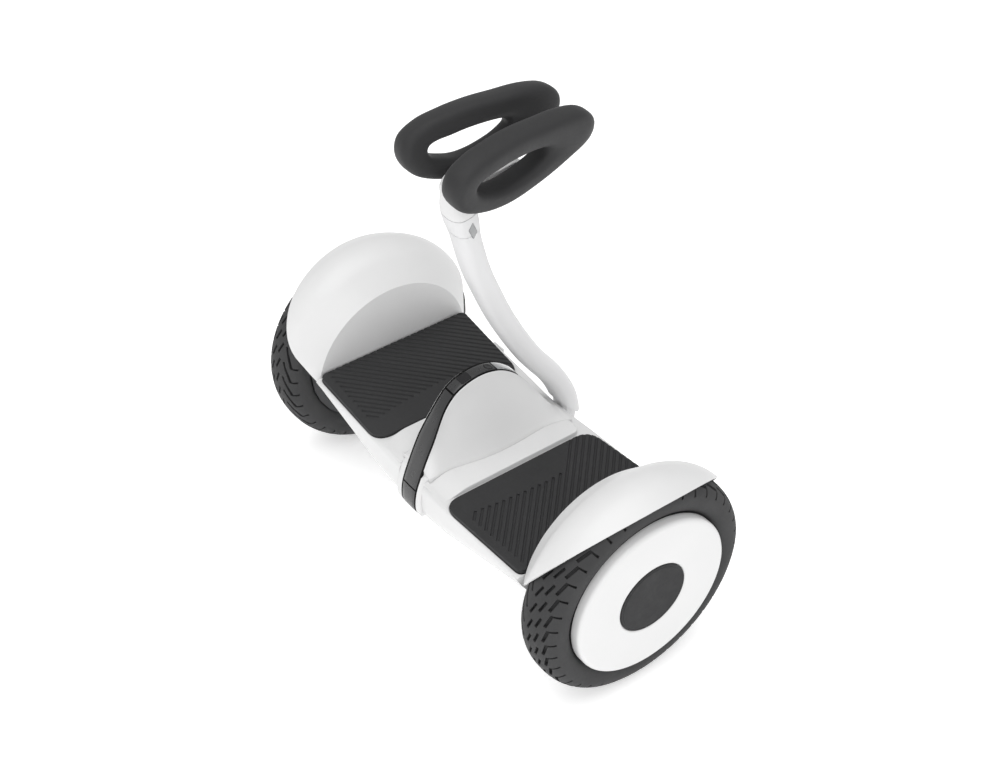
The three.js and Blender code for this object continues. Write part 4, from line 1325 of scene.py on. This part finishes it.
@dataclass
class Hull(Assembly):
    """The deck and belly: a white shell with recesses for the pads, parted along its flanks."""

    half_length: float = 191.6
    wall: float = 3.0
    deck: float = 153.0
    plateau: float = 159.0
    parting: float = 112.0
    stations: int = 36
    axle_bore: Flat = (11.9, 131.0)
    steering_bore: Flat = (7.9, 126.0)
    charge_bore: float = 6.3
    charge_place: Flat = (-120.0, 143.0)
    cutting_reach: float = 250.0
    ridge: Ridge = field(default_factory=Ridge)

    def edges(self, x: float) -> tuple[float, float, float, float, float]:
        """The rear edge, front edge, knee, turn and belly heights at a place along X.

        Args:
            x: the place.

        Returns:
            The two edges along Y and the three heights.
        """
        share = abs(x) / self.half_length
        rear = -112 + 4 * share + 5 * max(0.0, 1 - share / 0.3)
        front = 89.5 + 12.5 * (share**4 + 0.08**4) ** 0.15
        knee = min(107.5 + 43 * share, self.deck - 1.5)
        belly = 86 + 22 * share**2
        return rear, front, knee, max(107.5 + 43 * share - 40, belly + 3), belly

    def section(self, x: float, inset: float) -> list[Point]:
        """A section of the hull, drawn in by an inset, with rounded corners.

        Args:
            x: the place.
            inset: how far it is drawn in.

        Returns:
            The section's corners.
        """
        rear, front, knee, turn, belly = self.edges(x)
        top = self.deck - inset * 1.6

        def flank(edge: float, inward: float, ease: float) -> list[Flat]:
            """One side's corners from the deck down, its top edge laid back by an ease.

            Args:
                edge: the side's place along Y.
                inward: the direction along Y to the middle.
                ease: how far the top edge is laid back.

            Returns:
                The corners, from the deck down.
            """
            return [
                (edge + inward * (inset + 3 + ease), top), (edge + inward * inset, top - 1.5 - 1.6 * ease),
                (edge + inward * inset, min(knee, top - 3)),
                (edge + inward * (12 + inset), max(knee - 21.6 + inset / 2, turn + inset)),
                (edge + inward * (26 + inset), turn + inset), (edge + inward * (44 + inset), belly + inset),
            ]

        ease = 8 * max(0.0, 1 - abs(x) / self.half_length / 0.27)
        corners = flank(rear, 1, ease) + flank(front, -1, 0)[::-1]
        reaches = [3, 3, 9, 9, 9, 9, 9, 9, 9, 9, 3, 3]
        return [(x, y, z) for y, z in rounded(corners, reaches, 5)]

    def body(self, name: str, inset: float) -> bpy.types.Object:
        """The hull's closed form."""
        reach, count = self.half_length - inset, self.stations
        return Bench.loft(name, [self.section(reach * (2 * i / count - 1), inset) for i in range(count + 1)])

    def plateau_body(self) -> bpy.types.Object:
        """The plateau between the pads: it rises softly from the rear edge and ends in round corners.

        Returns:
            The closed body.
        """
        sections = []
        for y in (-106, -104, -100, -96, -91, -86, -80, -74, -60, -30, 0, 40, 72, 75, 77.5, 79, 80):
            top = self.deck - 0.3 + (self.plateau - self.deck + 0.3) * smoothstep(y, -106, -72)
            half = 59 - 8 + math.sqrt(64 - max(0.0, y - 72) ** 2)
            foot = self.deck - 2.5
            sections.append([(half, y, foot), (half, y, top), (-half, y, top), (-half, y, foot)])
        return Bench.loft("plateau", sections)

    def shell(self) -> bpy.types.Object:
        """Both halves together: the form with its plateau, hollowed and cut for all that goes through.

        Returns:
            The shell before it is parted.
        """
        shell = self.body("hull", 0)
        Bench.bevel(shell, 1.2, 3, 60)
        top = self.plateau_body()
        Bench.bevel(top, 1.0, 3, 60)
        Bench.boolean(shell, "UNION", top)
        Bench.boolean(shell, "DIFFERENCE", self.body("hollow", self.wall))
        Bench.boolean(shell, "DIFFERENCE", self.ridge.form("seat", GAP, self.deck - 12))
        Bench.boolean(shell, "DIFFERENCE", self.ridge.nose_block("nose_seat", GAP))
        for sign in (-1, 1):
            recess = FootPad().outline(0.6)
            corners = [(sign * x, y, 151) for x, y in recess]
            Bench.boolean(shell, "DIFFERENCE", Bench.prism("recess", corners, (0, 0, 20)))
        bore, height = self.axle_bore
        axle = Bench.turned("axle_hole", [(-200, 0), (-200, bore), (200, bore), (200, 0)], 32, (0, 0, height))
        bore, height = self.steering_bore
        steering = self.hole("steering_hole", bore, 0, 0, height)
        charge = self.hole("charge_hole", self.charge_bore, 40, *self.charge_place)
        return Bench.boolean(shell, "DIFFERENCE", axle, steering, charge)

    def hole(self, name: str, bore: float, start: float, x: float, z: float) -> bpy.types.Object:
        """A round cutter that runs forwards out of the hull from a start.

        Args:
            name: of the new object.
            bore: its radius.
            start: where it starts along Y.
            x: its place along X.
            z: its height.

        Returns:
            The cutter.
        """
        made = Bench.turned(name, [(start, 0), (start, bore), (110, bore), (110, 0)], 32)
        forwards = Matrix.Rotation(math.pi / 2, 4, "Z")
        made.data.transform(Matrix.Translation((x * MM, 0, z * MM)) @ forwards)
        return made

    def build(self) -> None:
        """Makes the body shell and the belly pan from one shell, and dresses what they hold."""
        upper = self.shell()
        upper.name = "deck_shell"
        lower = Bench.copy(upper, "belly_shell")
        reach, seam = self.cutting_reach, GAP / 2
        above = Bench.box("above", (-reach, -reach, self.parting + seam), (reach, reach, 200))
        below = Bench.box("below", (-reach, -reach, 0), (reach, reach, self.parting - seam))
        Bench.boolean(upper, "INTERSECT", above)
        Bench.boolean(lower, "INTERSECT", below)
        self.add(upper, "chassis", Slot.WHITE, WHITE, ["body_shell"], 40)
        self.add(lower, "chassis", Slot.WHITE, WHITE, ["belly_pan"], 40)
        self.dress(["chassis_frame", "axle_clamp_left", "axle_clamp_right"], CAST_ALLOY)
        self.dress([f"belly_screw_{i}" for i in range(1, 5)], STEEL)
        self.dress(["steering_bearing_rear", "steering_bearing_front"], STEEL)
        self.dress(["centring_bush"], PAD_RUBBER)
        self.dress(["charge_port_flap"], WHITE)
        self.dress(["control_board", "foot_sensor_left", "foot_sensor_right"], BOARD)
        self.dress(["battery_pack"], BATTERY)
        self.dress(["charge_socket"], BLACK_GLOSS)


@dataclass
class FootPad(Assembly):
    """A ribbed rubber mat with large round corners, a little higher outside."""

    inner: float = 62.3
    outer: float = 190.7
    rear: Flat = (-109.2, -103.2)
    front: Flat = (88.7, 99.9)
    corners: Flat = (21.0, 9.0)
    base: float = 151.3
    tops: Flat = (156.7, 159.5)
    pitch: float = 7.0
    depth: float = 1.3
    angle: float = 47.0
    margin: float = 10.0
    groove_halves: Flat = (2.0, 0.9)
    reach: float = 170.0
    plain: tuple[Flat, ...] = (
        (-120, 88), (-86.2, 91.8), (-50.7, 97), (3.7, 100.8), (35.1, 98.3), (58.1, 80.3), (58.3, 60),
    )

    def outline(self, grow: float) -> list[Flat]:
        """The right pad's outline, grown by a distance.

        Args:
            grow: how much larger it is all round.

        Returns:
            The outline's points.
        """
        corners = [
            (self.inner - grow, self.rear[0] - grow), (self.outer + grow, self.rear[1] - grow),
            (self.outer + grow, self.front[1] + grow), (self.inner - grow, self.front[0] + grow),
        ]
        inner, outer = self.corners
        return rounded(corners, [inner, outer, outer, inner], 10)

    def height(self, x: float) -> float:
        """The top's height at a place along X."""
        share = (x - self.inner) / (self.outer - self.inner)
        return self.tops[0] + (self.tops[1] - self.tops[0]) * share

    def mat(self) -> bpy.types.Object:
        """The right pad: the mat drawn up, its top tilted and rounded, and its grooves cut.

        Returns:
            The right pad.
        """
        obj = Bench.prism("ribbed_mat_right", [(x, y, self.base) for x, y in self.outline(0)], (0, 0, 5))
        for vertex in obj.data.vertices:
            if vertex.co.z > (self.base + 1) * MM:
                vertex.co.z = self.height(vertex.co.x / MM) * MM
        Bench.bevel(obj, 1.2, 3, 60)
        return Bench.boolean(obj, "DIFFERENCE", self.grooves())

    def grooves(self) -> bpy.types.Object:
        """A comb of groove cutters, each a wedge that stops at the pad's plain parts.

        Returns:
            All the cutters as one object.
        """
        middle = Vector(((self.inner + self.outer) / 2, (self.rear[0] + self.front[1]) / 2))
        turn = math.radians(self.angle)
        along = Vector((math.cos(turn + math.pi / 2), math.sin(turn + math.pi / 2)))
        across = Vector((math.cos(turn), math.sin(turn)))
        cutters = []
        wide, narrow = self.groove_halves
        wedge = ((-wide, 0.4), (wide, 0.4), (narrow, -self.depth), (-narrow, -self.depth))
        for i in range(-40, 41):
            start = middle + across * (i * self.pitch)
            spans = self.clip(start, along)
            if not spans:
                continue
            low, high = spans
            corners = []
            for offset, rise in wedge:
                point = start + along * low + across * offset
                corners.append((point.x, point.y, self.height(point.x) + rise))
            ends = start + along * high
            begins = start + along * low
            step = (ends.x - begins.x, ends.y - begins.y, self.height(ends.x) - self.height(begins.x))
            cutters.append(Bench.prism("groove", corners, step))
        Bench.pick(*cutters)
        bpy.ops.object.join()
        return cutters[0]

    def clip(self, start: Vector, along: Vector) -> Flat | None:
        """The stretch of a groove's line inside the ribbed part of the pad.

        Args:
            start: where the line passes the pad's middle.
            along: the line's direction.

        Returns:
            Where the stretch starts and ends, or nothing where it is too short.
        """
        steps = np.arange(-self.reach, self.reach, 0.5)
        inside = [k for k in steps if self.ribbed(start + along * float(k))]
        if len(inside) < 12:
            return None
        return float(inside[0]), float(inside[-1])

    def ribbed(self, point: Vector) -> bool:
        """Whether a place lies in the ribbed part of the pad.

        Args:
            point: the place.

        Returns:
            Whether ribs reach it.
        """
        if not self.inner - 5 < point.x < self.outer + 5:
            return False
        share = (point.x - self.inner) / (self.outer - self.inner)
        rear = self.rear[0] + (self.rear[1] - self.rear[0]) * share + self.margin
        front = self.front[0] + (self.front[1] - self.front[0]) * share + 5
        if not rear < point.y < front:
            return False
        return point.x > float(np.interp(point.y, [y for y, _ in self.plain], [x for _, x in self.plain]))

    def build(self) -> None:
        """Makes both pads, the left one as the right one's mirror image."""
        right = self.mat()
        left = Bench.mirrored(right, "ribbed_mat_left")
        for side, obj in ((Side.RIGHT, right), (Side.LEFT, left)):
            self.add(obj, "chassis", Slot.PAD, PAD_RUBBER, [f"footpad_{side.label}"], 25)


@dataclass
class KneeBar(Assembly):
    """The curved bar from the steering neck up to the head, with its release button."""

    half_width: float = 18.0
    half_depth: float = 13.0
    wall: float = 3.0
    sides: int = 48
    steps: int = 64
    release: float = 0.957
    seams: tuple[float, ...] = (0.94,)
    swell: Flat = (1.6, 2.6)
    swell_heights: Flat = (436, 462)
    seam_share: float = 0.0016
    seam_depth: float = 0.8
    core_shares: Flat = (0.01, 0.0116)
    key_face: float = 19.4
    key_halves: Flat = (4.5, 10.0)
    points: tuple[Flat, ...] = (
        (106.3, 122), (104.8, 145), (98, 170), (81.5, 201), (49.5, 246), (17.5, 303), (-3.5, 350),
        (-21.5, 398), (-39, 470),
    )
    foot: tuple[Flat, ...] = (
        (95, 155.4), (110, 139.6), (116, 140.5), (119.5, 147), (120, 475), (-112, 475), (-112, 349),
    )

    def __post_init__(self) -> None:
        """Samples the middle line once."""
        self.line = Line(self.points)

    def tube(self, name: str, inset: float, low: float = 0.0, high: float = 1.0) -> bpy.types.Object:
        """The bar's form, drawn in by an inset, between two shares of its line.

        Args:
            name: of the new object.
            inset: how far it is drawn in.
            low: share of the line where it starts.
            high: share where it ends.

        Returns:
            The closed body.
        """
        sections = []
        for i in range(self.steps + 1):
            share = low + (high - low) * i / self.steps
            y, z = self.line.at(share)
            along = self.line.along(share)
            swell = smoothstep(z, *self.swell_heights) if inset < self.wall else 0.0
            half_width = self.half_width + self.swell[0] * swell - inset
            outline = oval(half_width, self.half_depth + self.swell[1] * swell - inset, self.sides)
            sections.append([(x, y + along.y * out, z - along.x * out) for x, out in outline])
        return Bench.loft(name, sections)

    def bar(self) -> bpy.types.Object:
        """The hollow bar, its foot cut to a slant.

        Returns:
            The bar with its seam and the button's seat.
        """
        bar = self.tube("curved_bar", 0)
        region = Bench.prism("foot", [(-40, y, z) for y, z in self.foot], (80, 0, 0))
        Bench.boolean(bar, "INTERSECT", region)
        bore = self.tube("bore", self.wall)
        Bench.boolean(bar, "DIFFERENCE", bore, self.button("button_seat", 0.3, 8, 5))
        for share in self.seams:
            groove = self.tube("groove", -1.5, share, share + self.seam_share)
            before, after = self.core_shares
            core = self.tube("core", self.seam_depth, share - before, share + after)
            Bench.boolean(groove, "DIFFERENCE", core)
            Bench.boolean(bar, "DIFFERENCE", groove)
        return bar

    def button(self, name: str, grow: float, depth: float, rise: float) -> bpy.types.Object:
        """The release button, a rounded diamond in the bar's right flank, or its seat.

        Args:
            name: of the new object.
            grow: how much larger it is all round.
            depth: how far it reaches in.
            rise: how far it stands out.

        Returns:
            The closed body.
        """
        y, z = self.line.at(self.release)
        along = self.line.along(self.release)
        half, length = (size + grow for size in self.key_halves)
        shape = [(half, -length / 3), (half * 0.4, length), (-half, length / 3), (-half * 0.4, -length)]
        corners = []
        for a, b in rounded(shape, 1.2, 3):
            place = (y + a * along.y + b * along.x, z - a * along.x + b * along.y)
            corners.append((self.key_face - depth, *place))
        return Bench.prism(name, corners, (depth + rise, 0, 0))

    def build(self) -> None:
        """Makes the bar and the button, and dresses what is inside the bar."""
        self.add(self.bar(), "steering", Slot.ALLOY, WHITE_PAINT, ["knee_bar"], 40)
        button = Bench.bevel(self.button("release_key", 0, 2.7, 0.4), 0.3, 2, 60)
        self.add(button, "release", Slot.DARK, LENS, ["release_button"], 40)
        self.dress(["neck_casting"], WHITE_PAINT)
        self.dress(["steering_shaft"], STEEL)
        self.dress(["bar_bushing"], PAD_RUBBER)


@dataclass
class KneeHead(Assembly):
    """The white head on the bar, and the two padded rings bolted to it."""

    top: Flat = (-39.0, 470.0)
    back: float = 0.237
    up: float = 0.9715
    keel_half: float = 11.5
    keel: tuple[Flat, ...] = (
        (-52, 486), (-20, 484), (0, 488), (22, 491), (33, 496), (33, 504), (22, 508), (0, 505), (-22, 506),
        (-36, 511), (-48, 508), (-55, 498),
    )
    tapers: tuple[Point, ...] = (
        (0.5, 19.4, 15.4), (4, 19.3, 15.4), (9, 18.2, 14.8), (14, 16.4, 14), (20, 14.4, 13), (27, 12.6, 12),
        (32, 11.6, 11), (36, 10.2, 9.5),
    )

    def up_bar(self, distance: float) -> Flat:
        """A place up the straight top of the bar's line."""
        return self.top[0] - self.back * distance, self.top[1] + self.up * distance

    def stretch(self, name: str, rows: Sequence[Point], squareness: float, sides: int) -> bpy.types.Object:
        """A body along the bar's straight line from (distance, half width, half depth) rows.

        Args:
            name: of the new object.
            rows: distance, half width and half depth at each section.
            squareness: of the sections.
            sides: points in each section.

        Returns:
            The closed body.
        """
        sections = []
        for distance, half_width, half_depth in rows:
            y, z = self.up_bar(distance)
            outline = oval(half_width, half_depth, sides, squareness)
            sections.append([(x, y + self.up * out, z + self.back * out) for x, out in outline])
        return Bench.loft(name, sections)

    def head(self) -> bpy.types.Object:
        """The spigot, the collar and the keel between the rings, as one casting.

        Returns:
            The casting.
        """
        head = self.stretch("head_casting", self.tapers, 2.6, 48)
        half = self.keel_half
        flat = [(-half, y, z) for y, z in rounded(list(self.keel), 5, 4)]
        keel = Bench.prism("keel", flat, (2 * half, 0, 0))
        Bench.bevel(keel, 2.0, 4, 60)
        spigot = self.stretch("spigot", [(-52, 7.2, 7.2), (-51, 8, 8), (5, 8, 8)], 2, 32)
        return Bench.boolean(head, "UNION", keel, spigot)

    def build(self) -> None:
        """Makes the head and both rings, and dresses the bolts."""
        self.add(self.head(), "head", Slot.WHITE, WHITE, ["knee_head"], 40)
        right = KneeRing().loop()
        left = Bench.mirrored(right, "padded_ring_left")
        for side, obj in ((Side.RIGHT, right), (Side.LEFT, left)):
            self.add(obj, "head", Slot.PADDING, PADDING, [f"knee_ring_{side.label}"], 60)
        self.dress(["ring_bolt_rear", "ring_bolt_front"], STEEL)


@dataclass
class KneeRing:
    """A padded loop with a thick front, whose plane splays upwards and closes in towards the front.

    Each row of shares holds a point of the hole and one of the outline beside it, along and down.
    """

    length: float = 159.4
    back: float = 67.5
    drop: float = 44.2
    half_thickness: float = 14.5
    bow: float = 2.0
    half_spacing: float = 36.6
    height: float = 544.1
    splay: float = 7.7
    toe_in: float = 4.5
    rise: float = 3.7
    steps: int = 120
    sides: int = 40
    squareness: float = 3.0
    shares: tuple[tuple[float, float, float, float], ...] = (
        (0.251, 0.174, 0.238, -0.414), (0.358, 0.156, 0.358, -0.432), (0.471, 0.172, 0.477, -0.416),
        (0.577, 0.217, 0.615, -0.362), (0.64, 0.283, 0.809, -0.283), (0.662, 0.362, 0.972, -0.102),
        (0.669, 0.441, 1.06, 0.249), (0.659, 0.52, 1.029, 0.645), (0.621, 0.611, 0.859, 0.905),
        (0.546, 0.713, 0.671, 1.109), (0.42, 0.792, 0.439, 1.26), (0.301, 0.787, 0.282, 1.249),
        (0.201, 0.679, 0.125, 1.109), (0.125, 0.543, -0.019, 0.814), (0.097, 0.373, -0.087, 0.362),
        (0.113, 0.238, -0.053, -0.09), (0.166, 0.181, 0.082, -0.339),
    )

    def loop(self) -> bpy.types.Object:
        """The right ring, its sections laid from the hole to the outline.

        Returns:
            The closed loop.
        """
        toe, rise, splay = (math.radians(v) for v in (self.toe_in, self.rise, self.splay))
        forward = Vector((-math.sin(toe) * math.cos(rise), math.cos(toe) * math.cos(rise), math.sin(rise)))
        up = Vector((math.sin(splay), 0, math.cos(splay)))
        up = (up - forward * up.dot(forward)).normalized()
        out = forward.cross(up)
        middle = Vector((self.half_spacing, 0, self.height))
        rows = np.array(self.shares) * (self.length, -self.drop, self.length, -self.drop)
        rows[:, (0, 2)] -= self.back
        hole, rim = Line(rows[:, :2], looped=True), Line(rows[:, 2:], looped=True)
        sections = []
        for i in range(self.steps):
            sample = i * Line.SAMPLES // self.steps
            inner, outer = Vector(hole.samples[sample]), Vector(rim.samples[sample])
            half = (outer - inner) / 2
            centre = inner + half
            high = max(0.0, 1 + 2 * centre.y / self.drop)
            lean = self.bow * high * math.sin(math.pi * (centre.x + self.back) / self.length)
            section = []
            for in_plane, across in oval(half.length, self.half_thickness, self.sides, self.squareness):
                flat = centre + half.normalized() * in_plane
                section.append(tuple(middle + forward * flat.x + up * flat.y + out * (across - lean)))
            sections.append(section)
        return Bench.loft("padded_ring_right", sections, looped=True)


@dataclass(frozen=True)
class Lamp:
    """A square soft light: its place and size in metres, and its power in watts."""

    name: str
    place: Point
    size: float
    power: float

    def build(self) -> None:
        """Hangs the light, facing the object."""
        data = bpy.data.lights.new(self.name, "AREA")
        data.size = self.size
        data.energy = self.power
        lamp = bpy.data.objects.new(self.name, data)
        lamp.location = self.place
        lamp.rotation_mode = "QUATERNION"
        lamp.rotation_quaternion = (Vector((0, 0, 0.25)) - Vector(self.place)).to_track_quat("-Z", "Y")
        bpy.context.scene.collection.objects.link(lamp)


@dataclass
class Studio:
    """The floor, the lights and the camera."""

    azimuth: float = 53.204
    elevation: float = 40.457
    roll: float = 0.253
    eye: Point = (1118.16, -823.59, 1416.85)
    lens: float = 60.863
    floor_reach: float = 9000.0
    floor_glow: float = 0.4
    surround: float = 0.6
    lamps: tuple[Lamp, ...] = (
        Lamp("key", (0.3, -0.6, 4.0), 4.0, 86),
        Lamp("fill", (2.6, -1.4, 1.6), 2.0, 22),
    )

    def camera(self) -> None:
        """A camera at the photograph's angle."""
        turn, lift = math.radians(self.azimuth), math.radians(self.elevation)
        back = Vector((math.sin(turn) * math.cos(lift), -math.cos(turn) * math.cos(lift), math.sin(lift)))
        data = bpy.data.cameras.new("camera")
        data.lens = self.lens
        data.sensor_fit = "HORIZONTAL"
        data.clip_start, data.clip_end = 0.05, 60
        camera = bpy.data.objects.new("camera", data)
        camera.rotation_mode = "QUATERNION"
        roll = Quaternion((0, 0, 1), math.radians(self.roll))
        camera.rotation_quaternion = (-back).to_track_quat("-Z", "Y") @ roll
        camera.location = Vector(self.eye) * MM
        bpy.context.scene.collection.objects.link(camera)
        bpy.context.scene.camera = camera

    def floor(self) -> None:
        """A plain pale floor with a soft paper grain."""
        bpy.ops.object.select_all(action="DESELECT")
        bpy.ops.mesh.primitive_plane_add(size=2 * self.floor_reach * MM)
        floor = bpy.context.object
        floor.name = "floor"
        material = PAPER.material()
        shader = material.node_tree.nodes["Principled BSDF"]
        shader.inputs["Emission Color"].default_value = (1, 1, 1, 1)
        shader.inputs["Emission Strength"].default_value = self.floor_glow
        floor.data.materials.append(material)

    def build(self) -> None:
        """Sets the scene up."""
        self.camera()
        self.floor()
        for lamp in self.lamps:
            lamp.build()
        world = bpy.data.worlds.new("studio")
        world.use_nodes = True
        background = world.node_tree.nodes["Background"]
        background.inputs["Color"].default_value = (1, 1, 1, 1)
        background.inputs["Strength"].default_value = self.surround
        bpy.context.scene.world = world
        bpy.context.scene.view_settings.view_transform = "Standard"
        bpy.context.scene.view_settings.look = "None"


def main() -> None:
    """Builds the studio and every sub-assembly."""
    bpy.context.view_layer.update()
    Studio().build()
    for side in Side:
        Wheel(side=side).build()
    Fender().build()
    ridge = Ridge()
    ridge.build()
    Hull(ridge=ridge).build()
    FootPad().build()
    KneeBar().build()
    KneeHead().build()


if __name__ == "__main__":
    main()
